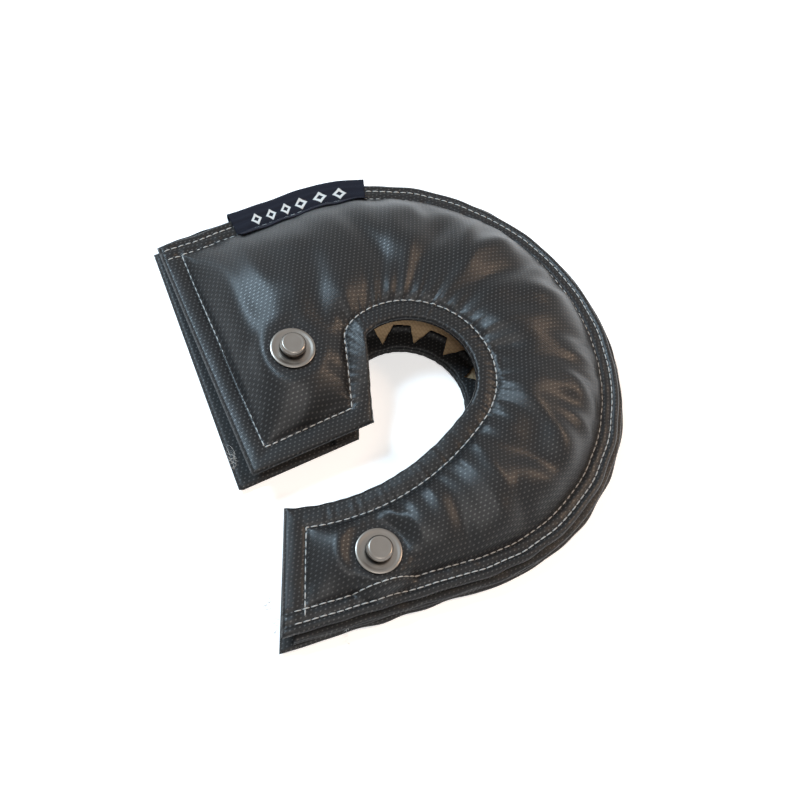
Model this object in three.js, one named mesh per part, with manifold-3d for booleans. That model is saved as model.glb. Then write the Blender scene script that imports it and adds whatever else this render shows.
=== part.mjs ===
// Turbo heat blanket: a horseshoe of two sewn, padded panels joined at the outer edge by a folded band.
// Millimetres, +Z up, the back panel lies on z = 0. Plan positions are laid out round a drawing origin
// near the middle of the hole, and the finished group is moved so that its base centre is the origin.
import * as THREE from 'three';
import { mergeVertices } from 'three/addons/utils/BufferGeometryUtils.js';
import Module from 'manifold-3d';

const wasm = await Module();
wasm.setup();

// Cloth and layers
const clothThickness = 1.0;
const linerThickness = 0.8;
const layerGap = 0.35;
const washerGap = 0.5;
const matSwell = 7.6;
const hemWidth = 10;
const tabLength = 13;
const tabPitch = 15;
const notchDepth = 9.5;
const flangeRowInset = 9.5;

// Plan of the front panel
const holeRadius = 29.5;
const holeCentre = [5, 9];
const holeCornerAngle = 143;
const holeExitAngle = -27;
const outerRadius = 112;
const outerCentre = [2, 22];
const outerMatchAngle = -38;
const upperTipInner = [-12, -12];
const upperTipOuter = [-67, -43];
const upperFlangeTip = [-122, 79];
const lowerTipInner = [-52, -57];
const lowerTipOuter = [-50, -115];
const lowerArmBow = 12;
const tipReach = 0.24;
const edgeWave = 1.3;
const edgeWaveCount = 17;

// The back panel lies a little to the side of the front one and is cut a little larger
const backGrow = 4.2;
const backSlide = [1.2, 1.6];
const backTipSlide = [-5, -2];
const backRowSlack = 1.8;
const bandReach = 2.8;

// Heights of the laid-down blanket
const backLift = 0.8;
const holeEdgeHeight = 34;
const upperTipHeight = 20;
const lowerTipHeight = 17;
const crownHeight = 41;
const hemPuffLength = 10;
const flangePuffLength = 21;
const backMatSwell = 7.2;
const bandDepth = 36;
const bandArmDepth = 12.5;
const bandSwell = 3.4;
const bandSlot = 0.6;
const bandClearance = 1.6;
const bandEnd = 0.012;

// Lacing anchors
const frontAnchors = [[-53, 14], [-10, -77]];
const backAnchors = [[-50, 16], [5, -68]];
const washerDiameter = 21;
const washerThickness = 1.1;
const headDiameter = 12;
const headHeight = 4.2;
const neckDiameter = 7;
const pinDiameter = 2.6;
const lockWasherDiameter = 18;
const lockWasherThickness = 0.7;
const pinTail = 1.6;
const seatSink = 3;
const seatRadius = 12;
const seatFade = 9;
const seatWall = 1.8;
const seatDepth = 4;
const washerRoom = 0.7;
const roundSides = 16;

// Woven label folded over the flange
const labelStart = 0.088;
const labelEnd = 0.228;
const labelDrop = 13.6;
const labelOverhang = 6.4;
const labelThickness = 0.7;

// Grid fineness
const frontStations = 30;
const frontRows = 9;
const backStations = 24;
const backRows = 7;
const bandStations = 18;
const meshTolerance = 0.05;

// Folds of the front panel: x, y, half length, half width, direction in degrees, height
const folds = [
  [-74, 44, 34, 7, 112, -1.6],
  [-38, 52, 26, 8, 100, 2.0],
  [-20, 82, 20, 6, 120, -2.2],
  [2, 78, 20, 7, 82, 2.4],
  [16, 86, 18, 5, 60, -2.0],
  [32, 72, 20, 6, 64, 2.2],
  [48, 88, 20, 6, 36, 2.2],
  [46, 66, 20, 5, 30, -2.2],
  [72, 60, 18, 6, 20, 2.2],
  [56, 42, 22, 6, 8, 1.8],
  [60, 25, 22, 7, -4, -2.4],
  [82, 14, 16, 5, -30, 2.0],
  [66, -8, 22, 6, -40, 2.2],
  [58, -30, 20, 6, -28, -2.2],
  [44, -42, 24, 5, -50, 2.4],
  [28, -66, 16, 5, -70, -2.0],
  [-24, -84, 16, 8, 80, 1.6],
  [36, 2, 18, 5, -70, -1.4],
];

const edgeStack = 2 * clothThickness + linerThickness + 2 * layerGap;
const bandLeg = clothThickness + layerGap + linerThickness;
const backFlangeTop = backLift + edgeStack;
const bandBottom = backFlangeTop + layerGap;
const bandTop = bandBottom + 2 * bandLeg + bandSlot;
const flangeTop = bandTop + layerGap + edgeStack;
const degree = Math.PI / 180;

const mix = (a, b, k) => a + (b - a) * k;
const clamp01 = (x) => Math.min(1, Math.max(0, x));
const smooth = (x) => clamp01(x) * clamp01(x) * (3 - 2 * clamp01(x));
const mixPoint = (a, b, k) => [mix(a[0], b[0], k), mix(a[1], b[1], k)];
const distance = (a, b) => Math.hypot(a[0] - b[0], a[1] - b[1]);
const onCircle = (centre, radius, angle) => [
  centre[0] + radius * Math.cos(angle * degree),
  centre[1] + radius * Math.sin(angle * degree),
];

// Angle at which a line from an outside point touches a circle, on the given side (+1 or -1)
function tangentAngle(centre, radius, point, side) {
  const towards = Math.atan2(point[1] - centre[1], point[0] - centre[0]);
  const half = Math.acos(Math.min(1, radius / distance(centre, point)));
  return (towards - side * half) / degree;
}

// A shallow arc from a to b that bows to the right of its direction
function bowed(a, b, bow, k) {
  const middle = mixPoint(a, b, k);
  const length = distance(a, b);
  const rise = 4 * bow * k * (1 - k);
  return [middle[0] - rise * (b[1] - a[1]) / length, middle[1] + rise * (b[0] - a[0]) / length];
}

// Plan of one panel. grow moves the outer edge out, slide moves the whole, tipSlide moves the arm tips
function makePlan(grow, slide, tipSlide) {
  const hole = [holeCentre[0] + slide[0], holeCentre[1] - slide[1]];
  const outer = [outerCentre[0] + slide[0], outerCentre[1] + slide[1]];
  const rowInset = flangeRowInset + (grow > 0 ? grow + backRowSlack : 0);
  const radius = outerRadius + grow;
  const tip = (p) => [p[0] + tipSlide[0], p[1] + tipSlide[1]];
  const flangeStart = [upperFlangeTip[0] - grow * 0.5, upperFlangeTip[1] + grow * 0.5];
  const flangeEnd = [lowerTipOuter[0] + tipSlide[0] * 0.7, lowerTipOuter[1] - grow];
  const startAngle = tangentAngle(outer, radius, flangeStart, 1);
  const endAngle = tangentAngle(outer, radius, flangeEnd, -1);
  const holeCorner = onCircle(hole, holeRadius, holeCornerAngle);
  const holeExit = onCircle(hole, holeRadius, holeExitAngle);
  const armKnot = 0.17;
  const exitKnot = 0.68;

  const innerEdge = (s) => {
    if (s < armKnot) {
      return mixPoint(tip(upperTipInner), holeCorner, s / armKnot);
    }
    if (s < exitKnot) {
      const k = (s - armKnot) / (exitKnot - armKnot);
      return onCircle(hole, holeRadius, mix(holeCornerAngle, holeExitAngle, k));
    }
    return bowed(holeExit, tip(lowerTipInner), lowerArmBow, (s - exitKnot) / (1 - exitKnot));
  };
  const outerEdge = (s) => {
    const wave = edgeWave * Math.sin(2 * Math.PI * edgeWaveCount * s) * smooth(s * 8) * smooth((1 - s) * 8);
    if (s < armKnot) {
      const k = s / armKnot;
      const end = onCircle(outer, radius, startAngle);
      return mixPoint(flangeStart, end, k);
    }
    if (s < exitKnot) {
      const k = (s - armKnot) / (exitKnot - armKnot);
      return onCircle(outer, radius + wave, mix(startAngle, outerMatchAngle, k));
    }
    const arcLength = (outerMatchAngle - endAngle) * degree * radius;
    const touch = onCircle(outer, radius, endAngle);
    const lineLength = distance(touch, flangeEnd);
    const along = (arcLength + lineLength) * (s - exitKnot) / (1 - exitKnot);
    if (along < arcLength) {
      return onCircle(outer, radius + wave, mix(outerMatchAngle, endAngle, along / arcLength));
    }
    return mixPoint(touch, flangeEnd, (along - arcLength) / lineLength);
  };
  const corner = tip(upperTipOuter);
  const first = innerEdge(0);
  const cornerShare = distance(first, corner) / (distance(first, corner) + distance(corner, flangeStart));
  const startEdge = (t) => (t < cornerShare
    ? mixPoint(first, corner, t / cornerShare)
    : mixPoint(corner, flangeStart, (t - cornerShare) / (1 - cornerShare)));

  // Ruled patch between the inner and the outer edge, bent near the arm tips to follow their outlines
  const bend = (edge, k, t) => {
    const chord = mixPoint(edge(0), edge(1), t);
    const weight = Math.max(0, 1 - k / tipReach) ** 2;
    return [(edge(t)[0] - chord[0]) * weight, (edge(t)[1] - chord[1]) * weight];
  };
  const at = (s, t) => {
    const ruled = mixPoint(innerEdge(s), outerEdge(s), t);
    const bent = bend(startEdge, s, t);
    return [ruled[0] + bent[0], ruled[1] + bent[1]];
  };
  // Millimetres square to an edge for one unit of s or t, beside that edge
  const pace = 0.004;
  const squareSpeed = (corner, along, inward) => {
    const [ax, ay] = [along[0] - corner[0], along[1] - corner[1]];
    const [bx, by] = [inward[0] - corner[0], inward[1] - corner[1]];
    return Math.abs(ax * by - ay * bx) / Math.hypot(ax, ay) / pace;
  };
  const next = (k) => (k > 0.5 ? k - pace : k + pace);
  const innerSpeed = (s) => squareSpeed(at(s, 0), at(next(s), 0), at(s, pace));
  const outerSpeed = (s) => squareSpeed(at(s, 1), at(next(s), 1), at(s, 1 - pace));
  const startSpeed = (t) => squareSpeed(at(0, t), at(0, next(t)), at(pace, t));
  const endSpeed = (t) => squareSpeed(at(1, t), at(1, next(t)), at(1 - pace, t));
  return { at, rowInset, innerSpeed, outerSpeed, startSpeed, endSpeed };
}

const frontPlan = makePlan(0, [0, 0], [0, 0]);
const backPlan = makePlan(backGrow, backSlide, backTipSlide);

// Distances from the four edges of a panel, in millimetres
function edgeDistances(plan, s, t) {
  return {
    inner: t * plan.innerSpeed(s),
    outer: (1 - t) * plan.outerSpeed(s),
    start: s * plan.startSpeed(t),
    end: (1 - s) * plan.endSpeed(t),
  };
}

// How far the padding fills out: 0 in the hems and the flange, towards 1 in the middle
function fullness(plan, s, t) {
  const d = edgeDistances(plan, s, t);
  const rise = (x, length) => 1 - Math.exp(-Math.max(0, x) / length);
  return rise(d.inner - hemWidth, hemPuffLength) * rise(d.outer - plan.rowInset, flangePuffLength)
    * rise(d.start - hemWidth, hemPuffLength) * rise(d.end - hemWidth, hemPuffLength);
}

// 1 inside the seat of an anchor, fading to 0 round it
function seatShare(anchors, point) {
  const nearest = Math.min(...anchors.map((anchor) => distance(anchor, point)));
  return 1 - smooth((nearest - seatRadius) / seatFade);
}

// Sum of the placed folds, each a soft ridge or hollow with rounded ends
function foldHeight(point) {
  let height = 0;
  for (const [x, y, length, width, angle, size] of folds) {
    const dx = point[0] - x;
    const dy = point[1] - y;
    const along = (dx * Math.cos(angle * degree) + dy * Math.sin(angle * degree)) / length;
    const across = (dy * Math.cos(angle * degree) - dx * Math.sin(angle * degree)) / width;
    height += size * Math.exp(-along * along - across * across);
  }
  return height;
}

// Height of the front panel's inner edge along the panel
function holeHeight(s) {
  const rising = mix(upperTipHeight, holeEdgeHeight, smooth(s / 0.2));
  return mix(rising, lowerTipHeight, smooth((s - 0.6) / 0.4));
}

function frontSmooth(s, t) {
  const base = mix(holeHeight(s), flangeTop, smooth(t * 1.05));
  return mix(base, crownHeight, fullness(frontPlan, s, t));
}
function frontSeat(anchor) {
  return frontTopFree(...anchor) - seatSink;
}

// The patch position under a plan point, found by a coarse search and two finer ones
function locate(plan, point) {
  let best = [0.5, 0.5];
  let span = 0.5;
  for (let round = 0; round < 4; round += 1) {
    const centre = best;
    let nearest = Infinity;
    for (let i = -12; i <= 12; i += 1) {
      for (let j = -12; j <= 12; j += 1) {
        const s = clamp01(centre[0] + span * i / 12);
        const t = clamp01(centre[1] + span * j / 12);
        const away = distance(plan.at(s, t), point);
        if (away < nearest) {
          nearest = away;
          best = [s, t];
        }
      }
    }
    span /= 6;
  }
  return best;
}
function frontTopFree(x, y) {
  return frontSmooth(...locate(frontPlan, [x, y]));
}

const frontSeats = frontAnchors.map(frontSeat);
const nearestOf = (anchors, point) => (
  distance(point, anchors[0]) < distance(point, anchors[1]) ? 0 : 1
);
const seatThickness = edgeStack + 0.7 * matSwell;
function frontThickness(s, t) {
  const free = edgeStack + matSwell * fullness(frontPlan, s, t);
  return mix(free, seatThickness, seatShare(frontAnchors, frontPlan.at(s, t)));
}

// Smooth upper face of the front panel, drawn down level at the anchors
function frontDrawn(s, t) {
  const point = frontPlan.at(s, t);
  const seat = frontSeats[nearestOf(frontAnchors, point)];
  return mix(frontSmooth(s, t), seat, seatShare(frontAnchors, point));
}
function frontTop(s, t) {
  const point = frontPlan.at(s, t);
  const play = Math.min(1, 1.6 * fullness(frontPlan, s, t)) * (1 - seatShare(frontAnchors, point));
  return frontDrawn(s, t) + foldHeight(point) * play;
}
const frontBottom = (s, t) => frontDrawn(s, t) - frontThickness(s, t);

// The back panel lies flat, with its edges a little off the ground and hollows for the anchors
const backSeatHeight = headHeight + washerThickness + 3 * layerGap;
const backSeatTop = backSeatHeight + edgeStack + 2.2;
function backBottom(s, t) {
  const lifted = backLift * (1 - smooth(fullness(backPlan, s, t) * 4));
  return mix(lifted, backSeatHeight, seatShare(backAnchors, backPlan.at(s, t)));
}
function backTop(s, t) {
  const free = backFlangeTop + backMatSwell * fullness(backPlan, s, t);
  return mix(free, backSeatTop, seatShare(backAnchors, backPlan.at(s, t)));
}

// Panel grid: t follows the hem line and the flange, s follows the hems of the arm ends.
// trim holds the four distances by which the grid stays inside the edges.
function panelGrid(plan, stations, rows, trim) {
  const point = (i, j) => {
    let s = i / stations;
    const tOf = (sNow) => {
      const inward = plan.innerSpeed(sNow);
      const outward = plan.outerSpeed(sNow);
      const low = trim.inner / inward;
      const high = 1 - trim.outer / outward;
      const hem = Math.max(low, hemWidth / inward);
      const row = Math.min(high, 1 - plan.rowInset / outward);
      const marks = [low];
      if (hem > low) {
        marks.push(hem);
      }
      const tail = row < high ? [row, high] : [high];
      const between = rows - (marks.length - 1) - (tail.length - 1);
      for (let n = 1; n < between; n += 1) {
        marks.push(mix(marks[hem > low ? 1 : 0], tail[0], n / between));
      }
      marks.push(...tail);
      return marks[j];
    };
    let t = tOf(s);
    const first = trim.start / plan.startSpeed(t);
    const last = 1 - trim.end / plan.endSpeed(t);
    const firstHem = Math.max(first, hemWidth / plan.startSpeed(t));
    const lastHem = Math.min(last, 1 - hemWidth / plan.endSpeed(t));
    if (i === 0) {
      s = first;
    } else if (i === stations) {
      s = last;
    } else {
      s = mix(firstHem, lastHem, (i - 1) / (stations - 2));
    }
    t = tOf(s);
    return [s, t];
  };
  return { point, stations, rows };
}

// The same grid without a number of lines all round, so that layers stay parallel
function innerGrid(grid, skipped) {
  return {
    point: (i, j) => grid.point(i + skipped, j + skipped),
    stations: grid.stations - 2 * skipped,
    rows: grid.rows - 2 * skipped,
  };
}

// Closed body between two surfaces over a grid
function slab(plan, grid, low, high) {
  const { stations, rows } = grid;
  const positions = [];
  const index = [];
  const across = rows + 1;
  const count = (stations + 1) * across;
  for (const height of [high, low]) {
    for (let i = 0; i <= stations; i += 1) {
      for (let j = 0; j <= rows; j += 1) {
        const [s, t] = grid.point(i, j);
        const [x, y] = plan.at(s, t);
        positions.push(x, y, height(s, t, i, j));
      }
    }
  }
  for (let i = 0; i < stations; i += 1) {
    for (let j = 0; j < rows; j += 1) {
      const a = i * across + j;
      const b = a + across;
      index.push(a, a + 1, b + 1, a, b + 1, b);
      index.push(count + a, count + b + 1, count + a + 1, count + a, count + b, count + b + 1);
    }
  }
  const wall = (a, b) => index.push(a, b, count + b, a, count + b, count + a);
  for (let i = 0; i < stations; i += 1) {
    wall(i * across, (i + 1) * across);
    wall((i + 1) * across + rows, i * across + rows);
  }
  for (let j = 0; j < rows; j += 1) {
    wall(j + 1, j);
    wall(stations * across + j, stations * across + j + 1);
  }
  return closedGeometry(positions, index);
}

// Geometry from positions and faces, with its faces turned outwards
function closedGeometry(positions, index) {
  const corner = (n) => new THREE.Vector3().fromArray(positions, index[n] * 3);
  let volume = 0;
  for (let n = 0; n < index.length; n += 3) {
    volume += corner(n).dot(corner(n + 1).cross(corner(n + 2)));
  }
  if (volume < 0) {
    for (let n = 0; n < index.length; n += 3) {
      [index[n + 1], index[n + 2]] = [index[n + 2], index[n + 1]];
    }
  }
  const geometry = new THREE.BufferGeometry();
  geometry.setAttribute('position', new THREE.Float32BufferAttribute(positions, 3));
  geometry.setIndex(index);
  return geometry;
}

function toSolid(geometry) {
  const bare = geometry.clone();
  bare.deleteAttribute('normal');
  bare.deleteAttribute('uv');
  const merged = mergeVertices(bare, 1e-4);
  return new wasm.Manifold(new wasm.Mesh({
    numProp: 3,
    vertProperties: new Float32Array(merged.attributes.position.array),
    triVerts: new Uint32Array(merged.index.array),
  }));
}
function fromSolid(solid) {
  const bodies = solid.simplify(meshTolerance).decompose().sort((a, b) => b.volume() - a.volume());
  const mesh = bodies[0].getMesh();
  const geometry = new THREE.BufferGeometry();
  geometry.setAttribute('position', new THREE.BufferAttribute(mesh.vertProperties, 3));
  geometry.setIndex(new THREE.BufferAttribute(mesh.triVerts, 1));
  return geometry;
}

// Upright cylinder between two heights, given in either order
function span(anchor, diameter, from, to) {
  const geometry = new THREE.CylinderGeometry(diameter / 2, diameter / 2, Math.abs(to - from), roundSides);
  geometry.rotateX(Math.PI / 2);
  geometry.translate(anchor[0], anchor[1], (from + to) / 2);
  return geometry;
}
const pinHole = (anchor) => toSolid(span(anchor, pinDiameter + 2 * layerGap, -tall, tall));
const evenTrim = (inset) => ({ inner: inset, outer: inset, start: inset, end: inset });
const tall = 2 * crownHeight;
const openingReach = 6;

// Space that the turned-over hem leaves open on the liner side, with a notch between each two tabs
function hemOpening(plan, low, high) {
  const stops = [];
  const innerLength = holeRadius * (holeCornerAngle - holeExitAngle) * degree;
  const tabs = Math.max(3, Math.round(innerLength / tabPitch));
  const startKnot = 0.17;
  const endKnot = 0.68;
  for (const s of [0, 0.05, 0.1, startKnot - 0.01]) {
    stops.push([s, tabLength]);
  }
  for (let n = 0; n < tabs; n += 1) {
    const from = mix(startKnot, endKnot, n / tabs);
    const step = (endKnot - startKnot) / tabs;
    stops.push([from, tabLength - notchDepth]);
    stops.push([from + step * 0.27, tabLength]);
    stops.push([from + step * 0.73, tabLength]);
  }
  stops.push([endKnot, tabLength - notchDepth]);
  for (const s of [endKnot + 0.01, 0.76, 0.84, 0.92, 1]) {
    stops.push([s, tabLength]);
  }
  const rows = 6;
  const stations = stops.length - 1;
  const point = (i, j) => {
    const [stop, depth] = stops[i];
    const near = depth / plan.innerSpeed(stop);
    const far = 1 - (plan.rowInset + 3) / plan.outerSpeed(stop);
    const t = mix(near, far, j / rows);
    const first = (hemWidth + 2) / plan.startSpeed(t);
    const last = 1 - (hemWidth + 2) / plan.endSpeed(t);
    if (stop < startKnot) {
      return [mix(first, startKnot, stop / startKnot), t];
    }
    return [stop > endKnot ? mix(endKnot, last, (stop - endKnot) / (1 - endKnot)) : stop, t];
  };
  return slab(plan, { point, stations, rows }, low, high);
}

// Cover of one panel: a skin all round, open on the liner side inside its hems.
// out is +1 where the outside faces up. The washers sit on flat seats in it.
function stitchedCover(plan, stations, rows, low, high, out, anchors, seats) {
  const wall = clothThickness;
  const outside = toSolid(slab(plan, panelGrid(plan, stations, rows, evenTrim(0)), low, high));
  const insideGrid = panelGrid(plan, stations, rows, evenTrim(wall));
  const roof = (s, t) => high(s, t) - wall;
  const ground = (s, t) => low(s, t) + wall;
  const inside = slab(plan, insideGrid, ground, roof);
  const through = out > 0
    ? slab(plan, insideGrid, (s, t) => low(s, t) - openingReach, roof)
    : slab(plan, insideGrid, ground, (s, t) => high(s, t) + openingReach);
  const opening = toSolid(hemOpening(plan, () => -tall, () => tall)).intersect(toSolid(through));
  let solid = outside.subtract(toSolid(inside)).subtract(opening);
  anchors.forEach((anchor, n) => {
    const seat = seats[n];
    const cup = toSolid(span(anchor, washerDiameter + 2 * seatWall, seat - out * wall, seat + out * seatDepth));
    const clear = toSolid(span(anchor, washerDiameter + 2 * washerRoom, seat, seat + out * tall));
    solid = solid.add(cup.intersect(outside)).subtract(clear).subtract(pinHole(anchor));
  });
  return solid;
}

// A layer that fills the panel between two heights, with holes for the anchor pins
function innerLayer(plan, grid, low, high, anchors) {
  let solid = toSolid(slab(plan, grid, low, high));
  for (const anchor of anchors) {
    solid = solid.subtract(pinHole(anchor));
  }
  return solid;
}
function matLayer(plan, grid, low, high, out, anchors, seats) {
  let solid = innerLayer(plan, innerGrid(grid, 2), low, high, anchors);
  anchors.forEach((anchor, n) => {
    const across = washerDiameter + 2 * (seatWall + layerGap);
    const from = seats[n] - out * (clothThickness + layerGap);
    solid = solid.subtract(toSolid(span(anchor, across, from, seats[n] + out * tall)));
  });
  return solid;
}

// Cuts a layer back until it lies a gap below the solids above it and a gap above those below it
function between(solid, above, below) {
  let cut = solid;
  for (const other of above) {
    cut = cut.subtract(other).subtract(other.translate([0, 0, -layerGap]));
  }
  for (const other of below) {
    cut = cut.subtract(other).subtract(other.translate([0, 0, layerGap]));
  }
  return cut;
}

const linerTrim = evenTrim(clothThickness + 2 * layerGap);
const frontGrid = panelGrid(frontPlan, frontStations, frontRows, evenTrim(0));
const backGrid = panelGrid(backPlan, backStations, backRows, evenTrim(0));

const frontLinerLow = (s, t) => frontBottom(s, t) + clothThickness + layerGap;
const frontLinerHigh = (s, t) => frontLinerLow(s, t) + linerThickness;
const backLinerHigh = (s, t) => backTop(s, t) - clothThickness - layerGap;
const backLinerLow = (s, t) => backLinerHigh(s, t) - linerThickness;

const frontMatLow = (s, t) => frontLinerHigh(s, t) + layerGap;
const frontMatHigh = (s, t) => frontTop(s, t) - clothThickness - layerGap;
const backMatHigh = (s, t) => backLinerLow(s, t) - layerGap;
const backMatLow = (s, t) => backBottom(s, t) + clothThickness + layerGap;

// Strip swept along the outer edge between two paths of [distance in, height] points of equal count
function sweptBand(pathsAt, stations, from, to) {
  const positions = [];
  const index = [];
  let size = 0;
  for (let i = 0; i <= stations; i += 1) {
    const s = mix(from, to, i / stations);
    const [outside, inside] = pathsAt(s);
    const section = [...outside, ...inside.reverse()];
    size = section.length;
    for (const [inward, z] of section) {
      const t = 1 - inward / frontPlan.outerSpeed(s);
      const [x, y] = frontPlan.at(s, t);
      positions.push(x, y, z);
    }
  }
  for (let i = 0; i < stations; i += 1) {
    for (let j = 0; j < size; j += 1) {
      const next = (j + 1) % size;
      const a = i * size;
      const b = a + size;
      if (j < size / 2) {
        index.push(a + j, b + j, b + next, a + j, b + next, a + next);
      } else {
        index.push(a + j, b + j, a + next, b + j, b + next, a + next);
      }
    }
  }
  const last = stations * size;
  for (let j = 0; j < size / 2 - 1; j += 1) {
    const across = size - 1 - j;
    index.push(j, j + 1, across - 1, j, across - 1, across);
    index.push(last + j, last + across - 1, last + j + 1, last + j, last + across, last + across - 1);
  }
  return closedGeometry(positions, index);
}

// The band is folded inwards, deep round the back of the horseshoe and shallow in the lower arm
const depthOfBand = (s) => mix(bandDepth, bandArmDepth, smooth((s - 0.6) / 0.16));

// Outer half height of the folded band at a distance in from the flange edge, and its middle height
function bandShape(s, inward) {
  const t = clamp01(1 - inward / frontPlan.outerSpeed(s));
  const roof = frontBottom(s, t);
  const ground = backTop(s, t);
  const flat = 0.5 * (bandTop - bandBottom);
  const sloped = smooth((inward - flangeRowInset) / 8);
  const room = Math.max(flat, 0.5 * (roof - ground) - layerGap - bandClearance * sloped);
  const middle = mix(0.5 * (bandTop + bandBottom), 0.5 * (roof + ground), smooth((inward - 6) / 14));
  return { middle, half: Math.min(room, flat + bandSwell * smooth((inward - flangeRowInset) / 16)) };
}

// U-shaped layer of the band between two offsets from its middle height
function bandLayer(outerOffset, innerOffset, edge, marks) {
  return (s) => {
    const depth = depthOfBand(s);
    const places = [...edge, ...marks.map((share) => share * depth), depth];
    const path = (offsetAt) => {
      const leaf = (side) => places.map((inward) => {
        const { middle, half } = bandShape(s, inward);
        return [inward, middle + side * offsetAt(half)];
      });
      const tip = bandShape(s, depth);
      return [...leaf(1), [depth + offsetAt(tip.half), tip.middle], ...leaf(-1).reverse()];
    };
    return [path(outerOffset), path(innerOffset)];
  };
}
const slotHalf = 0.5 * bandSlot;
const bandCoverHalf = slotHalf + clothThickness;
const linerInside = (half) => half - linerThickness;
const bandCoverSection = bandLayer(() => bandCoverHalf, () => slotHalf, [-bandReach], [0.28, 0.6]);
const bandLinerSection = bandLayer((half) => half, linerInside, [-bandReach + 1], [0.28, 0.6]);
const bandMatSection = bandLayer((half) => linerInside(half) - layerGap, () => bandCoverHalf + layerGap, [], [0.6]);

// Woven label: one leaf over the flange, folded beyond its edge, the other leaf tucked in below it
function labelSection(s) {
  const lift = (inward) => {
    const t = 1 - Math.max(0, inward) / frontPlan.outerSpeed(s);
    return Math.max(frontTop(s, t), flangeTop) + 2 * layerGap;
  };
  const fold = -labelOverhang;
  const inFold = fold + labelThickness;
  const marks = [labelDrop, flangeRowInset, 1];
  const leafLow = bandTop + layerGap;
  const leafHigh = leafLow + labelThickness;
  const tuck = -layerGap - 0.2;
  const outside = [...marks.map((inward) => [inward, lift(inward) + labelThickness]),
    [fold, lift(0) + labelThickness], [fold, leafLow], [tuck, leafLow]];
  const inside = [...marks.map((inward) => [inward, lift(inward)]),
    [inFold, lift(0)], [inFold, leafHigh], [tuck, leafHigh]];
  return [outside, inside];
}

// Lacing anchor: button head outside, pin through the quilt, lock washer on the liner side.
// up is +1 on the front panel and -1 on the back panel.
function addAnchor(name, anchor, seat, linerFace, up) {
  const place = (profile) => {
    const geometry = new THREE.LatheGeometry(profile.map(([r, z]) => new THREE.Vector2(r, z)), roundSides);
    geometry.rotateX(Math.PI / 2);
    if (up < 0) {
      geometry.rotateX(Math.PI);
    }
    geometry.translate(anchor[0], anchor[1], seat);
    return geometry;
  };
  const hole = pinDiameter / 2 + layerGap;
  const washerLow = layerGap;
  const washerHigh = washerLow + washerThickness;
  const rim = washerDiameter / 2;
  addPiece(name + '_washer', place([[hole, washerLow], [rim, washerLow], [rim, washerHigh],
    [hole, washerHigh], [hole, washerLow]]), steel);
  const headLow = washerHigh + layerGap;
  const headHigh = headLow + headHeight;
  const head = headDiameter / 2;
  const pin = pinDiameter / 2;
  const tail = -Math.abs(seat - linerFace) - washerGap - lockWasherThickness - pinTail;
  addPiece(name + '_pin', place([[0, tail], [pin, tail], [pin, headLow], [neckDiameter / 2, headLow],
    [neckDiameter / 2, headLow + 0.8], [head, headLow + 1.2], [head, headHigh - 1], [head - 1, headHigh],
    [0, headHigh]]), steel);
  const lockHigh = -Math.abs(seat - linerFace) - washerGap;
  const lockLow = lockHigh - lockWasherThickness;
  const lock = lockWasherDiameter / 2;
  addPiece(name + '_lock_washer', place([[hole, lockLow], [lock, lockLow], [lock, lockHigh],
    [hole, lockHigh], [hole, lockLow]]), steel);
}

// Pieces
const blackCloth = { color: 0x17181a, roughness: 0.5, metalness: 0 };
const darkCloth = { color: 0x1c1b1b, roughness: 0.6, metalness: 0 };
const linerCloth = { color: 0xb59d7c, roughness: 0.85, metalness: 0 };
const matFelt = { color: 0xe6e2d8, roughness: 1, metalness: 0 };
const steel = { color: 0xb8b4ae, roughness: 0.25, metalness: 1 };
const labelCloth = { color: 0x14161d, roughness: 0.75, metalness: 0 };

const group = new THREE.Group();
function addPiece(name, geometry, look) {
  const mesh = new THREE.Mesh(geometry, new THREE.MeshStandardMaterial(look));
  mesh.name = name;
  group.add(mesh);
}

const frontLinerGrid = panelGrid(frontPlan, frontStations, frontRows, linerTrim);
const backLinerGrid = panelGrid(backPlan, backStations, backRows, linerTrim);
const backSeats = backAnchors.map(() => backSeatHeight);
const frontCover = stitchedCover(frontPlan, frontStations, frontRows, frontBottom, frontTop, 1,
  frontAnchors, frontSeats);
const frontFaces = frontAnchors.map((anchor) => frontLinerLow(...locate(frontPlan, anchor)));
const backFaces = backAnchors.map((anchor) => backLinerHigh(...locate(backPlan, anchor)));
const washerBed = (anchor, face, out) => toSolid(span(anchor, lockWasherDiameter + 2 * layerGap,
  face - out * (washerGap - layerGap), face - out * tall));
let frontLiner = innerLayer(frontPlan, frontLinerGrid, frontLinerLow, frontLinerHigh, frontAnchors);
frontAnchors.forEach((anchor, n) => {
  frontLiner = frontLiner.subtract(washerBed(anchor, frontFaces[n], 1));
});
const frontMat = between(matLayer(frontPlan, frontGrid, frontMatLow, frontMatHigh, 1, frontAnchors, frontSeats),
  [frontCover], [frontCover, frontLiner]);
const backCover = stitchedCover(backPlan, backStations, backRows, backBottom, backTop, -1, backAnchors, backSeats);
const backLiner = between(innerLayer(backPlan, backLinerGrid, backLinerLow, backLinerHigh, backAnchors),
  [], [backCover]);
const backMat = between(matLayer(backPlan, backGrid, backMatLow, backMatHigh, -1, backAnchors, backSeats),
  [backLiner], [backCover]);
const bandRoof = [frontCover, frontLiner];
const bandFloor = [backCover, backLiner];
const wholeBand = (section) => toSolid(sweptBand(section, bandStations, bandEnd, 1 - bandEnd));
const bandCover = between(wholeBand(bandCoverSection), bandRoof, bandFloor);
const bandLiner = between(wholeBand(bandLinerSection), bandRoof, bandFloor);

addPiece('front_cover', fromSolid(frontCover), blackCloth);
addPiece('front_liner', fromSolid(frontLiner), linerCloth);
addPiece('front_insulation', fromSolid(frontMat), matFelt);
addPiece('back_cover', fromSolid(backCover), darkCloth);
addPiece('back_liner', fromSolid(backLiner), linerCloth);
addPiece('back_insulation', fromSolid(backMat), matFelt);

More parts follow.
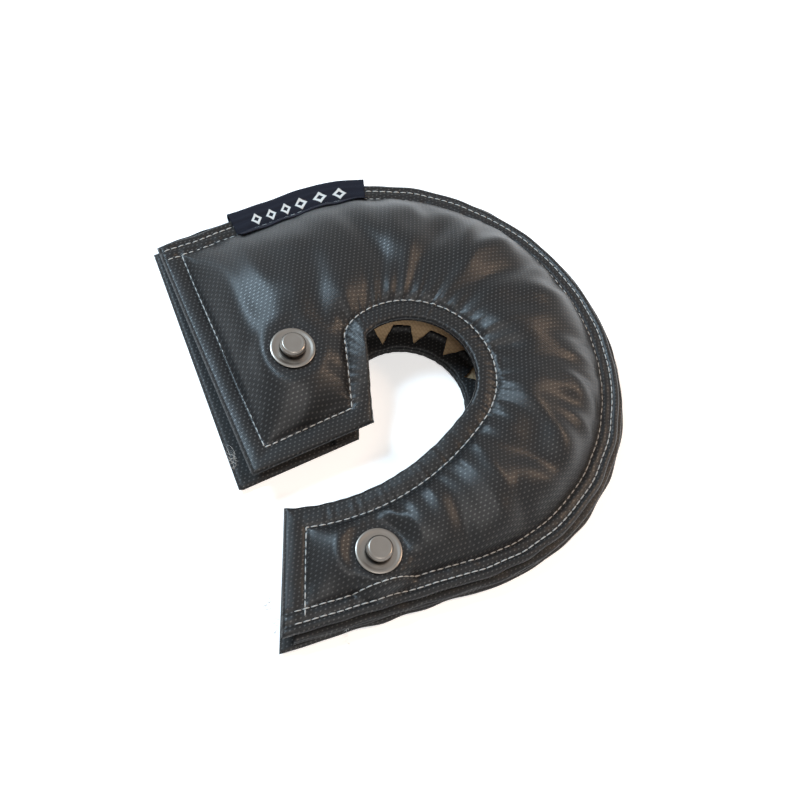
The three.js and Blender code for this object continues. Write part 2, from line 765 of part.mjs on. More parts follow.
const bandStep = (1 - 2 * bandEnd) / bandStations;
const matFirst = 2;
const matLast = Math.floor(0.58 * bandStations);
const bandAt = (station) => bandEnd + station * bandStep;
addPiece('band_cover', fromSolid(bandCover), blackCloth);
addPiece('band_liner', fromSolid(bandLiner), linerCloth);
addPiece('band_insulation', sweptBand(bandMatSection, matLast - matFirst, bandAt(matFirst), bandAt(matLast)),
  matFelt);
const wholeLabel = toSolid(sweptBand(labelSection, 8, labelStart, labelEnd));
addPiece('label', fromSolid(between(wholeLabel, [], [frontCover])), labelCloth);
['upper', 'lower'].forEach((place, n) => {
  addAnchor(`front_${place}_anchor`, frontAnchors[n], frontSeats[n], frontFaces[n], 1);
  addAnchor(`back_${place}_anchor`, backAnchors[n], backSeatHeight, backFaces[n], -1);
});

const box = new THREE.Box3().setFromObject(group);
const middle = box.getCenter(new THREE.Vector3());
group.position.set(-middle.x, -middle.y, -box.min.z);

export default group;
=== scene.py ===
import math
import bpy
import numpy as np
from mathutils import Matrix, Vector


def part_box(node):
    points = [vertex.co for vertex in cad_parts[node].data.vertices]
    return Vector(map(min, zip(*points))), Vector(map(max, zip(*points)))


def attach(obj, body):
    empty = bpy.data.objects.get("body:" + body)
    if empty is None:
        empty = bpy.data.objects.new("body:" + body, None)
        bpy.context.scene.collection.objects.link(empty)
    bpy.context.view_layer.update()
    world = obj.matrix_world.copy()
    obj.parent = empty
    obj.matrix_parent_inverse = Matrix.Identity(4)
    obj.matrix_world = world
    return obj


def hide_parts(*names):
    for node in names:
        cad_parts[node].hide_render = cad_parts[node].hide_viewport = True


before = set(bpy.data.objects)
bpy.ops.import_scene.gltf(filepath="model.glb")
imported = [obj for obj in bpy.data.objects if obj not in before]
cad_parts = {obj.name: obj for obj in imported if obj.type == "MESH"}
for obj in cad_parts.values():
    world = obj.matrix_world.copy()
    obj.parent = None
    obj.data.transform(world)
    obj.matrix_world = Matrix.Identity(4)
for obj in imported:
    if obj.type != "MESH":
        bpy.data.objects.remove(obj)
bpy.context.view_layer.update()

# A horseshoe heat blanket: two padded cloth panels, sewn along a flange with a folded band between them.
# The plan is drawn in millimetres as complex numbers x + iy round the middle of the hole; place() moves
# it to where the frame has its anchors.
plan = {
    "holeRadius": 29.5, "holeCentre": 5 + 9j, "holeCorner": 143, "holeExit": -27,
    "outerRadius": 112, "outerCentre": 2 + 22j, "matchAngle": -38,
    "tipInner": -12 - 12j, "tipOuter": -67 - 43j, "flangeTip": -122 + 79j,
    "lowInner": -52 - 57j, "lowOuter": -50 - 115j, "armBow": 12,
    "armKnot": 0.17, "exitKnot": 0.68, "tipReach": 0.24,
    "backGrow": 4.2, "backSlide": (1.2, 1.6), "backTipSlide": -5 - 2j,
    "backLowSlide": 6,
}
sewing = {"hem": 10, "row": 9.5, "secondRow": 4.2, "backRow": 15.5, "tab": 13, "notch": 9.5, "tabPitch": 15,
          "hemReach": 0.4}
heights = {
    "stack": 3.5, "fill": 7.6, "back": 4.3, "flange": 13.4, "holeEdge": 34, "upperTip": 20, "lowerTip": 17,
    "crown": 41, "fallFrom": 0.6, "flangeReach": 1.05, "foldsFull": 1.6, "hemPuff": 10, "flangePuff": 21,
    "backFill": 7.2, "backLift": 0.8, "backRound": 4,
    "seatRadius": 12, "seatFade": 9, "seatFill": 0.7, "backSeat": 6.35, "backSeatTop": 12.05,
}
anchors = {
    "front": [-53 + 14j, -10 - 77j], "back": [-50 + 16j, 5 - 68j],
    "washer": 10.5, "washerThick": 1.1, "head": 6, "headHigh": 4.2, "neck": 3.5, "gap": 0.35,
}

low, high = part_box("front_upper_anchor_washer")
shift = (low[0] + high[0]) * 500 - anchors["front"][0].real + 1j * (
    (low[1] + high[1]) * 500 - anchors["front"][0].imag)


def place(points, z):
    # Plan points and heights in millimetres to frame positions in metres.
    moved = np.asarray(points) + shift
    z = np.broadcast_to(z, moved.shape)
    return np.stack([moved.real, moved.imag, z], axis=-1) / 1000


def mix(a, b, k):
    return a + (b - a) * k


def smooth(x):
    x = np.clip(x, 0, 1)
    return x * x * (3 - 2 * x)


def bell(x, width):
    return np.exp(-(x / width) ** 2)


def fade(x, length):
    return np.exp(-np.maximum(0, x) / length)


def turnBy(degrees):
    return np.exp(1j * np.radians(degrees))


def ripple(x, seed, count=7, low=0.6, high=1.9):
    # Sum of count sines of one variable, with wavelengths spread round 1 and random phases.
    draw = np.random.default_rng(seed)
    rates = draw.uniform(low, high, count)
    phases = draw.uniform(0, 2 * np.pi, count)
    total = sum(np.sin(2 * np.pi * rate * x + phase) for rate, phase in zip(rates, phases))
    return total / math.sqrt(count)


def cloudy(points, size, seed, count=14):
    # Sum of plane sine waves over the plan in random directions, about size millimetres long.
    draw = np.random.default_rng(seed)
    total = 0
    for n in range(count):
        wave = turnBy(draw.uniform(0, 360)) * draw.uniform(0.6, 1.6) / size
        total = total + np.sin(2 * np.pi * (points * wave.conjugate()).real + draw.uniform(0, 6.3))
    return total / math.sqrt(count)


def edgeDistance(points, edge):
    # Shortest way from each point to a polyline: its nearest corner, then the two segments beside that
    flat = np.asarray(points).ravel()
    parts = np.array_split(flat, 1 + flat.size // 4000)
    nearest = np.concatenate([np.abs(part[:, None] - edge[None, :]).argmin(axis=1) for part in parts])
    best = np.full(flat.shape, np.inf)
    for step in (-1, 0):
        first = np.clip(nearest + step, 0, edge.size - 2)
        a, b = edge[first], edge[first + 1]
        k = np.clip(((flat - a) * (b - a).conjugate()).real / np.abs(b - a) ** 2, 0, 1)
        best = np.minimum(best, np.abs(flat - mix(a, b, k)))
    return best.reshape(np.shape(points))


class Panel:
    # Plan of one panel: a ruled patch between its inner edge (t 0) and outer edge (t 1); s runs along it
    # from the upper arm's end (0) to the lower arm's end (1).

    step = 0.004

    def __init__(self, grow, slide, tipSlide, lowSlide, row):
        p = plan
        self.row = row
        self.hole = p["holeCentre"] + slide[0] - 1j * slide[1]
        self.centre = p["outerCentre"] + slide[0] + 1j * slide[1]
        self.radius = p["outerRadius"] + grow
        self.tips = [p[k] + tipSlide for k in ("tipInner", "tipOuter", "lowInner")]
        self.tips[2] += lowSlide
        self.flangeStart = p["flangeTip"] + grow * (-0.5 + 0.5j)
        self.flangeEnd = p["lowOuter"] + 0.7 * tipSlide.real - 1j * grow + 0.6 * lowSlide
        self.startAngle = self.tangent(self.flangeStart, 1)
        self.endAngle = self.tangent(self.flangeEnd, -1)
        along = np.linspace(0, 1, 400)
        ends = self.inner(np.array([0.0, 1.0]))
        self.innerLine = self.inner(along)
        self.outerLine = self.outer(along)
        self.tipLine = np.array([ends[0], self.tips[1]])
        self.sideLine = np.array([self.tips[1], self.flangeStart])
        self.lowLine = np.array([ends[1], self.flangeEnd])

    def tangent(self, point, side):
        away = point - self.centre
        half = np.degrees(np.arccos(min(1, self.radius / abs(away))))
        return np.degrees(np.angle(away)) - side * half

    def inner(self, s):
        # Straight to the hole's corner, round the hole, then a shallow arc to the lower tip.
        p = plan
        corner = self.hole + p["holeRadius"] * turnBy(p["holeCorner"])
        leave = self.hole + p["holeRadius"] * turnBy(p["holeExit"])
        k = (s - p["armKnot"]) / (p["exitKnot"] - p["armKnot"])
        ring = self.hole + p["holeRadius"] * turnBy(mix(p["holeCorner"], p["holeExit"], k))
        k = (s - p["exitKnot"]) / (1 - p["exitKnot"])
        way = self.tips[2] - leave
        arm = leave + way * k + 1j * way / abs(way) * 4 * p["armBow"] * k * (1 - k)
        start = mix(self.tips[0], corner, s / p["armKnot"])
        return np.where(s < p["armKnot"], start, np.where(s < p["exitKnot"], ring, arm))

    def outer(self, s):
        # Straight to the big arc, round it, then straight to the lower flange end.
        p = plan
        angles = [self.startAngle, p["matchAngle"], self.endAngle]
        touch = [self.centre + self.radius * turnBy(a) for a in angles]
        k = (s - p["armKnot"]) / (p["exitKnot"] - p["armKnot"])
        ring = self.centre + self.radius * turnBy(mix(angles[0], angles[1], k))
        arc = math.radians(angles[1] - angles[2]) * self.radius
        line = abs(self.flangeEnd - touch[2])
        along = (arc + line) * (s - p["exitKnot"]) / (1 - p["exitKnot"])
        bend = self.centre + self.radius * turnBy(mix(angles[1], angles[2], along / arc))
        arm = np.where(along < arc, bend, mix(touch[2], self.flangeEnd, (along - arc) / line))
        start = mix(self.flangeStart, touch[0], s / p["armKnot"])
        return np.where(s < p["armKnot"], start, np.where(s < p["exitKnot"], ring, arm))

    def end(self, t):
        first = self.inner(np.array(0.0))
        corner = self.tips[1]
        share = abs(first - corner) / (abs(first - corner) + abs(corner - self.flangeStart))
        return np.where(t < share, mix(first, corner, t / share),
                        mix(corner, self.flangeStart, (t - share) / (1 - share)))

    def at(self, s, t):
        ruled = mix(self.inner(s), self.outer(s), t)
        chord = mix(self.end(np.array(0.0)), self.end(np.array(1.0)), t)
        return ruled + (self.end(t) - chord) * np.maximum(0, 1 - s / plan["tipReach"]) ** 2

    def pace(self, corner, along, inward):
        # Millimetres square to an edge for one unit of the parameter that leaves it.
        a = along - corner
        b = inward - corner
        return np.abs(a.real * b.imag - a.imag * b.real) / np.abs(a) / self.step

    def nextTo(self, k):
        return np.where(k > 0.5, k - self.step, k + self.step)

    def innerPace(self, s):
        zero = np.zeros_like(s)
        return self.pace(self.at(s, zero), self.at(self.nextTo(s), zero), self.at(s, zero + self.step))

    def outerPace(self, s):
        one = np.ones_like(s)
        return self.pace(self.at(s, one), self.at(self.nextTo(s), one), self.at(s, one - self.step))

    def startPace(self, t):
        zero = np.zeros_like(t)
        return self.pace(self.at(zero, t), self.at(zero, self.nextTo(t)), self.at(zero + self.step, t))

    def lastPace(self, t):
        one = np.ones_like(t)
        return self.pace(self.at(one, t), self.at(one, self.nextTo(t)), self.at(one - self.step, t))

    def distances(self, s, t):
        # Ways to the inner edge, the outer edge, the upper arm's tip and side, and the lower arm's end
        points = self.at(s, t)
        lines = (self.innerLine, self.outerLine, self.tipLine, self.sideLine, self.lowLine)
        return [edgeDistance(points, line) for line in lines]

    def nearer(self, share, inset, point, *lines):
        # A share of the patch, changed by how far its point's way to the nearest line misses the inset
        away = np.min([edgeDistance(point, line) for line in lines], axis=0)
        return share * (inset / np.maximum(1e-6, away)) ** 0.7

    def fromInner(self, s, inset):
        # t whose way to the inner edge is inset: t is scaled until it fits
        t = inset / self.innerPace(s)
        for _ in range(12):
            t = self.nearer(t, inset, self.at(s, t), self.innerLine)
        return t

    def fromOuter(self, s, inset):
        t = inset / self.outerPace(s)
        for _ in range(12):
            t = self.nearer(t, inset, self.at(s, 1 - t), self.outerLine)
        return 1 - t

    def fromEnds(self, t, inset):
        # s at which the upper arm's end and the lower arm's end are inset away
        up = np.full(t.shape, 0.05)
        down = np.full(t.shape, 0.05)
        for _ in range(14):
            up = self.nearer(up, inset, self.at(up, t), self.tipLine, self.sideLine)
            down = self.nearer(down, inset, self.at(1 - down, t), self.lowLine)
        return up, 1 - down


front = Panel(0, (0, 0), 0j, 0j, sewing["row"])
back = Panel(plan["backGrow"], plan["backSlide"], plan["backTipSlide"], plan["backLowSlide"],
             sewing["backRow"])


def fullness(panel, s, t):
    # How far the padding fills out: 0 in hems and flange, towards 1 in the middle.
    inner, outer, *ends = panel.distances(s, t)
    h = heights
    full = (1 - fade(inner - sewing["hem"], h["hemPuff"])) * (1 - fade(outer - panel.row, h["flangePuff"]))
    for end in ends:
        full = full * (1 - fade(end - sewing["hem"], h["hemPuff"]))
    return full


def seatShare(points, side):
    nearest = np.minimum(*[np.abs(points - a) for a in anchors[side]])
    return 1 - smooth((nearest - heights["seatRadius"]) / heights["seatFade"])


def frontFree(s, t):
    # The front's crown height over a base that falls from the hole to the flange.
    h = heights
    edge = mix(h["upperTip"], h["holeEdge"], smooth(s / plan["armKnot"]))
    edge = mix(edge, h["lowerTip"], smooth((s - h["fallFrom"]) / (1 - h["fallFrom"])))
    base = mix(edge, h["flange"], smooth(t * h["flangeReach"]))
    return mix(base, h["crown"], fullness(front, s, t))


seatTops = [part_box(f"front_{n}_anchor_washer")[0][2] * 1000 - anchors["gap"] for n in ("upper", "lower")]

# Folds of the front panel: x, y, half length, half width, direction in degrees, height
folds = [
    (-74, 44, 34, 7, 112, -1.6), (-38, 52, 26, 8, 100, 2.0), (-20, 82, 20, 6, 120, -2.2),
    (2, 78, 20, 7, 82, 2.4), (16, 86, 18, 5, 60, -2.0), (32, 72, 20, 6, 64, 2.2),
    (48, 88, 20, 6, 36, 2.2), (46, 66, 20, 5, 30, -2.2), (72, 60, 18, 6, 20, 2.2),
    (56, 42, 22, 6, 8, 1.8), (60, 25, 22, 7, -4, -2.4), (82, 14, 16, 5, -30, 2.0),
    (66, -8, 22, 6, -40, 2.2), (58, -30, 20, 6, -28, -2.2), (44, -42, 24, 5, -50, 2.4),
    (28, -66, 16, 5, -70, -2.0), (-24, -84, 16, 8, 80, 1.6), (36, 2, 18, 5, -70, -1.4),
    (-25, 36, 24, 8, 97, 2.4), (-41, 42, 24, 7, 100, -1.8), (82, -28, 28, 8, 58, 2.4),
    (62, -20, 26, 9, 55, -2.0), (58, -57, 20, 8, 35, 2.0), (-88, 30, 30, 8, 112, -1.4),
]


def foldHeight(points):
    total = np.zeros(points.shape)
    for x, y, length, width, angle, size in folds:
        local = (points - (x + 1j * y)) * turnBy(-angle)
        total += size * bell(local.real, length) * bell(local.imag, width)
    return total


# Small shapes of sewn cloth: grooves at the stitch lines, puckers that run square to them, slack ripples
cloth = {
    "groove": 0.6, "grooveWide": 1.0, "grooveStart": 3, "edge": 1.75, "length": 470, "acrossShare": 0.6,
    "pucker": 0.4, "puckerPitch": 9, "puckerFade": 5, "puckerStart": 7,
    "frontPuckers": 1.3, "backPuckers": 0.2,
    "gather": 0.55, "gatherPitch": 24, "hemGather": 13, "rowGather": 15, "corner": 12, "flat": 4,
    "slack": 0.5, "slackSize": 34, "hemPuff": 0.45, "hemMiddle": 5, "hemWide": 3.2,
    "rowsMiddle": 2.6, "rowsWide": 1.8, "lipMiddle": 2.2, "lipWide": 1.4,
    "edgeWave": 0.4, "edgeWaves": 15, "edgeFade": 9, "holeWave": 0.12, "holeWaves": 30, "holeFade": 6,
    "endCalm": 20,
}

# Radial puckers beside the flange seam: angle round the outer centre, distance out, half length, half
# width, height
puckers = [
    (97, 72, 17, 6, 1.7), (84, 86, 9, 5, -1.0), (66, 76, 22, 4, 1.5), (53, 82, 20, 8, 1.9),
    (43, 88, 10, 4, -1.4), (33, 76, 9, 5, 1.0), (23, 80, 16, 8, 1.9), (11, 88, 12, 4, -1.3),
    (3, 86, 15, 4, 1.4), (-4, 84, 10, 3, -1.0),
    (-11, 84, 17, 5, 1.7), (-20, 88, 14, 4, 1.4), (-30, 86, 13, 9, 1.4), (-44, 88, 14, 7, 1.5),
    (-54, 92, 9, 5, -1.7), (-62, 88, 13, 6, 1.5), (-72, 96, 9, 5, -1.0),
]


def puckerHeight(points):
    # Sum of soft radial ridges and hollows beside the outer seam.
    total = np.zeros(points.shape)
    for angle, away, length, width, size in puckers:
        local = (points - plan["outerCentre"]) * turnBy(-angle) - away
        total += size * bell(local.real, length) * bell(local.imag, width)
    return total


def sewn(panel, s, t, points, seed):
    # Grooves, puckers and slack added to a panel's face, from the distances to its edges.
    # Body, rows and hem are added where they lie; each stitch line takes a bell-shaped groove away.
    c = cloth
    inner, outer, tip, side, low = panel.distances(s, t)
    nearEnds = np.minimum(np.minimum(tip, side), low)
    hem = np.minimum(inner, nearEnds)
    pastHem = hem - sewing["hem"]
    pastRow = outer - panel.row
    groove = bell(pastHem, c["grooveWide"]) * smooth(pastRow / c["grooveStart"])
    for inset in (panel.row, panel.row - sewing["row"] + sewing["secondRow"]):
        groove = np.maximum(groove, bell(outer - inset, c["grooveWide"]))
    along = c["length"] * s
    alongHem = np.where(nearEnds < inner, c["acrossShare"] * t * (inner + outer), along)
    puckerIn = ripple(alongHem / c["puckerPitch"], seed) * fade(np.abs(pastHem), c["puckerFade"])
    puckerOut = ripple(along / c["puckerPitch"], seed + 1) * fade(np.abs(pastRow), c["puckerFade"])
    gatherIn = ripple(alongHem / c["gatherPitch"], seed + 2) * fade(pastHem, c["hemGather"])
    for difference in (nearEnds - inner, tip - side):
        gatherIn = gatherIn * smooth(np.abs(difference) / c["corner"])
    gatherOut = ripple(along / c["gatherPitch"], seed + 3) * fade(pastRow, c["rowGather"])
    calm = 1 - seatShare(points, "front" if panel is front else "back")
    free = smooth(pastHem / c["flat"]) * smooth(pastRow / c["flat"]) * calm
    body = (gatherIn + gatherOut) * c["gather"] * free
    body += cloudy(points, c["slackSize"], seed + 4) * c["slack"] * free
    share = c["backPuckers"] if panel is back else c["frontPuckers"]
    body += puckerHeight(points) * smooth(pastRow / c["puckerStart"]) * calm * share
    rows = bell(pastRow + c["rowsMiddle"], c["rowsWide"]) + bell(outer - c["lipMiddle"], c["lipWide"])
    rows = rows + bell(hem - c["hemMiddle"], c["hemWide"])
    soft = c["hemPuff"] * rows + c["pucker"] * 0.5 * (puckerIn + puckerOut)
    return body + soft - c["groove"] * groove


def frontFace(s, t):
    points = front.at(s, t)
    calm = seatShare(points, "front")
    nearest = np.abs(points - anchors["front"][0]) < np.abs(points - anchors["front"][1])
    seat = np.where(nearest, *seatTops)
    drawn = mix(frontFree(s, t), seat, calm)
    full = np.minimum(1, heights["foldsFull"] * fullness(front, s, t))
    return drawn, drawn + foldHeight(points) * full * (1 - calm)


def frontUnder(s, t):
    # Underside of the front panel, the stack and its fill below the smooth face.
    h = heights
    points = front.at(s, t)
    free = h["stack"] + h["fill"] * fullness(front, s, t)
    thick = mix(free, h["stack"] + h["seatFill"] * h["fill"], seatShare(points, "front"))
    return frontFace(s, t)[0] - thick


def backFaces(s, t):
    # Lower and upper face of the back panel.
    h = heights
    points = back.at(s, t)
    calm = seatShare(points, "back")
    full = fullness(back, s, t)
    under = mix(h["backLift"] * (1 - smooth(full * h["backRound"])), h["backSeat"], calm)
    over = mix(h["back"] + h["backFill"] * full, h["backSeatTop"], calm)
    return under, over


def makeMesh(name, positions, quads, uv=None):
    # A mesh object from an array of positions and one of quads, smooth shaded.
    mesh = bpy.data.meshes.new(name)
    mesh.vertices.add(len(positions))
    mesh.vertices.foreach_set("co", np.asarray(positions, np.float32).ravel())
    quads = np.asarray(quads, np.int32)
    mesh.loops.add(quads.size)
    mesh.loops.foreach_set("vertex_index", quads.ravel())
    mesh.polygons.add(len(quads))
    mesh.polygons.foreach_set("loop_start", np.arange(0, quads.size, 4, dtype=np.int32))
    mesh.polygons.foreach_set("use_smooth", np.ones(len(quads), bool))
    if uv is not None:
        layer = mesh.uv_layers.new(name="cloth")
        layer.data.foreach_set("uv", np.asarray(uv, np.float32)[quads.ravel()].ravel())
    mesh.validate()
    mesh.update()
    piece = bpy.data.objects.new(name, mesh)
    bpy.context.scene.collection.objects.link(piece)
    return piece


def thicken(piece, thick):
    solid = piece.modifiers.new("thickness", "SOLIDIFY")
    solid.thickness = thick / 1000
    solid.offset = 0
    return piece


def gridQuads(ids):
    # Quads of a grid of vertex numbers.
    a, b, c, d = ids[:-1, :-1], ids[1:, :-1], ids[1:, 1:], ids[:-1, 1:]
    return np.stack([a, b, c, d], axis=-1).reshape(-1, 4)


def closedSheet(name, points, top, bottom, uv=None):
    # Two grids over the same plan, joined all round the rim where their heights meet.
    count = points.size
    ids = np.arange(count).reshape(points.shape)
    rim = np.ones(points.shape, bool)
    rim[1:-1, 1:-1] = False
    under = np.where(rim, ids, 0)
    under[~rim] = count + np.arange((~rim).sum())
    positions = np.concatenate([place(points, top).reshape(-1, 3), place(points, bottom)[~rim]])
    quads = np.concatenate([gridQuads(ids)[:, ::-1], gridQuads(under)])
    if uv is not None:
        uv = np.concatenate([uv.reshape(-1, 2), uv[~rim]])
    return makeMesh(name, positions, quads, uv)


def edgeRound(distance, radius):
    # Quarter-circle profile: 0 at a rim, 1 beyond radius from it.
    return np.sqrt(np.clip(1 - (1 - np.clip(distance / radius, 0, 1)) ** 2, 0, 1))


def spacing(count, edge, share):
    # 0 to 1 with share of the steps drawn together near both ends, edge wide.
    u = np.linspace(-1, 1, count)
    return 0.5 + 0.5 * np.sign(u) * (np.abs(u) * (1 - share) + share * (1 - (1 - np.abs(u)) ** edge))


def panelGrid(panel, alongCount, acrossCount, trim=(0, 0, 0, 0)):
    # Patch parameters on a grid with fine steps at all four rims. trim keeps it inside the edges.
    s = spacing(alongCount, 3, 0.12)[:, None]
    v = spacing(acrossCount, 2.2, 0.45)[None, :]
    s = s + 0 * v
    t = v + 0 * s
    along = s[:, :1]
    t = mix(panel.fromInner(along, trim[0]), panel.fromOuter(along, trim[1]), t)
    s = mix(trim[2] / panel.startPace(t), 1 - trim[3] / panel.lastPace(t), s)
    return s, t


def wavyPoints(panel, s, t, seed):
    # Plan points with the outer edge let in and out a little, fading inwards.
    points = panel.at(s, t)
    outwards = panel.outer(s) - panel.inner(s)
    outwards = outwards / np.abs(outwards)
    c = cloth
    calm = smooth(s * c["endCalm"]) * smooth((1 - s) * c["endCalm"])
    wave = ripple(s * c["edgeWaves"], seed) * c["edgeWave"] * calm
    wave = wave * fade(edgeDistance(points, panel.outerLine), c["edgeFade"])
    holeWave = c["holeWave"] * ripple(s * c["holeWaves"], seed + 5)
    holeWave = holeWave * fade(edgeDistance(points, panel.innerLine), c["holeFade"])
    return points + outwards * (wave + holeWave)


print("panels")
frontPiece = {"along": 470, "across": 104, "seed": 11}
s, t = panelGrid(front, frontPiece["along"], frontPiece["across"])
points = wavyPoints(front, s, t, frontPiece["seed"])
drawn, face = frontFace(s, t)
face = face + sewn(front, s, t, points, frontPiece["seed"])
under = frontUnder(s, t)
profile = edgeRound(np.min(front.distances(s, t), axis=0), cloth["edge"])
middle = 0.5 * (drawn + under)
top = mix(middle, face, profile)
bottom = mix(middle, under, profile)
frontCover = closedSheet("frontCover", points, top, bottom)

backPiece = {"along": 400, "across": 90, "seed": 31, "relief": 0.35, "sunk": 0.6, "threadRoom": 0.35}
s, t = panelGrid(back, backPiece["along"], backPiece["across"])
points = wavyPoints(back, s, t, backPiece["seed"])
under, over = backFaces(s, t)
detail = sewn(back, s, t, points, backPiece["seed"])
under = np.maximum(0, under - backPiece["relief"] * detail)
profile = edgeRound(np.min(back.distances(s, t), axis=0), cloth["edge"])
middle = 0.5 * (under + over)
top = mix(middle, over - backPiece["sunk"], profile)
bottom = mix(middle, under, profile)
backCover = closedSheet("backCover", points, top, bottom)

print("liners and tabs")
linerPiece = {"along": 300, "across": 60, "thick": 0.5, "insets": (2.2, 11, 12, 12), "slack": 0.25,
              "slackSize": 18, "rim": 60, "clear": 0.1}


def makeLiner(name, panel, faceHeight, side, seed):
    # A thin sheet just off a panel's inner face, with its own slack.
    s, t = panelGrid(panel, linerPiece["along"], linerPiece["across"], linerPiece["insets"])
    points = panel.at(s, t)
    base = faceHeight(s, t) + linerPiece["slack"] * cloudy(points, linerPiece["slackSize"], seed)
    offset = side * linerPiece["thick"] * edgeRound(np.minimum(t, 1 - t) * linerPiece["rim"], 1)
    return closedSheet(name, points, np.maximum(base, base + offset), np.minimum(base, base + offset))


frontLiner = makeLiner("frontLiner", front, lambda s, t: frontUnder(s, t) - linerPiece["clear"], -1, 51)
backLiner = makeLiner("backLiner", back, lambda s, t: backFaces(s, t)[1] - linerPiece["clear"], 1, 52)
tabPiece = {"along": 420, "rows": 12, "thick": 0.9, "open": 0.27, "from": 0.6, "gap": 0.15, "curl": 0.25,
            "curlRate": 300, "rim": 14, "endRim": 400, "ends": (0.004, 0.996)}


def tabDepth(panel, s):
    # Tab length along the hole: full length, cut to short V notches at even steps round the hole.
    span = math.radians(plan["holeCorner"] - plan["holeExit"]) * plan["holeRadius"]
    count = round(span / sewing["tabPitch"])
    phase = (s - plan["armKnot"]) / (plan["exitKnot"] - plan["armKnot"]) * count
    near = np.abs(phase - np.round(phase))
    notch = np.clip(1 - near / tabPiece["open"], 0, 1) * (phase > -0.5) * (phase < count + 0.5)
    return sewing["tab"] - sewing["notch"] * notch


def makeTabs(name, panel, faceHeight, side):
    # The hem turned over the liner round the hole and along both arms.
    p = tabPiece
    s = np.linspace(*p["ends"], p["along"])[:, None] + np.zeros(p["rows"])[None, :]
    v = np.linspace(0, 1, p["rows"])[None, :] + 0 * s
    depth = mix(p["from"], tabDepth(panel, s), v)
    t = panel.fromInner(s, depth)
    points = panel.at(s, t)
    curl = p["curl"] * v * np.sin(s * p["curlRate"]) ** 2
    lift = faceHeight(s, t) + side * (linerPiece["thick"] + p["gap"] + curl)
    rim = np.minimum(np.minimum(v, 1 - v) * p["rim"], np.minimum(s, 1 - s) * p["endRim"])
    half = 0.5 * p["thick"] * edgeRound(rim, 1)
    centre = lift + side * 0.5 * p["thick"]
    return closedSheet(name, points, centre + half, centre - half)


frontTabs = makeTabs("frontTabs", front, frontUnder, -1)
backTabs = makeTabs("backTabs", back, lambda s, t: backFaces(s, t)[1], 1)

print("mats")
matPiece = {"along": 160, "across": 40, "insets": (13, 18, 13, 13), "below": 4.6, "above": 0.6,
            "thinnest": 0.4, "rimSteps": 3, "backLift": 1}


def makeMat(name, panel, faces):
    # The fibre mat, a little inside the cover's two faces.
    s, t = panelGrid(panel, matPiece["along"], matPiece["across"], matPiece["insets"])
    points = panel.at(s, t)
    under, over = faces(s, t)
    row, column = np.indices(s.shape)
    rim = np.minimum(np.minimum(row, s.shape[0] - 1 - row), np.minimum(column, s.shape[1] - 1 - column))
    profile = edgeRound(rim, matPiece["rimSteps"])
    low = under + matPiece["above"]
    high = np.maximum(low + matPiece["thinnest"], over - matPiece["below"])
    middle = 0.5 * (low + high)
    return closedSheet(name, points, mix(middle, high, profile), mix(middle, low, profile))


frontMat = makeMat("frontMat", front, lambda s, t: (frontUnder(s, t), frontFace(s, t)[1]))
backMat = makeMat("backMat", back, lambda s, t: [face + matPiece["backLift"] for face in backFaces(s, t)])

print("band")
bandPiece = {
    "along": 360, "across": 16, "reach": 2.8, "depth": 14, "leaf": 2.05, "levels": (8.35, 5.85), "seed": 71,
    "ends": (0.012, 0.988), "wave": 0.25, "waves": 14, "sway": 0.2, "sways": 24,
}
bandFold = {
    "along": 220, "across": 41, "ends": (0.03, 0.97), "depth": 36, "armDepth": 12.5, "narrowFrom": 0.6,
    "narrow": 0.16, "from": 5, "slopeFrom": 8, "slope": 10, "clear": 1.6, "open": 3.4, "thinnest": 1.2,
    "thick": 0.6,
}


def makeBandLeaf(name, level, seed):
    # One leaf of the folded band at the flange, with a rounded outer fold.
    b = bandPiece
    s = spacing(b["along"], 3, 0.1)[:, None] + np.zeros(b["across"])[None, :]
    s = mix(*b["ends"], s)
    v = spacing(b["across"], 2.2, 0.5)[None, :] + 0 * s
    inward = mix(-b["reach"] + b["wave"] * ripple(s * b["waves"], seed), b["depth"], v)
    t = 1 - inward / front.outerPace(s)
    points = front.at(s, t)
    rim = np.minimum(v, 1 - v) * (b["depth"] + b["reach"])
    rim = np.minimum(rim, np.minimum(s, 1 - s) * cloth["length"])
    half = 0.5 * b["leaf"] * edgeRound(rim, 1)
    centre = level + b["sway"] * ripple(s * b["sways"], seed + 1)
    return closedSheet(name, points, centre + half, centre - half)


def makeBandLiner():
    # The band's lining: two leaves and the deep fold between the panels, as one U-shaped sheet.
    # Half its opening grows from the leaf's to the room between the panels, and closes as a round fold.
    b = bandFold
    leaf = bandPiece["leaf"]
    s = np.linspace(*b["ends"], b["along"])[:, None] + np.zeros(b["across"])[None, :]
    w = np.linspace(-1, 1, b["across"])[None, :] + 0 * s
    depth = mix(b["depth"], b["armDepth"], smooth((s - b["narrowFrom"]) / b["narrow"]))
    inward = mix(depth, b["from"], np.abs(w) ** 1.5)
    t = 1 - inward / front.outerPace(s)
    roof = frontUnder(s, t)
    ground = backFaces(s, t)[1]
    slope = smooth((inward - b["slopeFrom"]) / b["slope"])
    middle = mix(0.5 * sum(bandPiece["levels"]), 0.5 * (roof + ground), slope)
    half = mix(leaf, np.minimum(0.5 * (roof - ground) - b["clear"], leaf + b["open"] * slope), slope)
    roundFold = np.sqrt(np.clip(1 - (1 - np.abs(w)) ** 4, 0, 1))
    z = middle + np.sign(w) * np.maximum(half, b["thinnest"]) * roundFold
    points = front.at(s, t)
    piece = makeMesh("bandLiner", place(points, z).reshape(-1, 3),
                     gridQuads(np.arange(points.size).reshape(points.shape)))
    return thicken(piece, b["thick"])


bandLiner = makeBandLiner()
bandLeaves = [makeBandLeaf(f"bandLeaf{n + 1}", level, bandPiece["seed"] + n)
              for n, level in enumerate(bandPiece["levels"])]

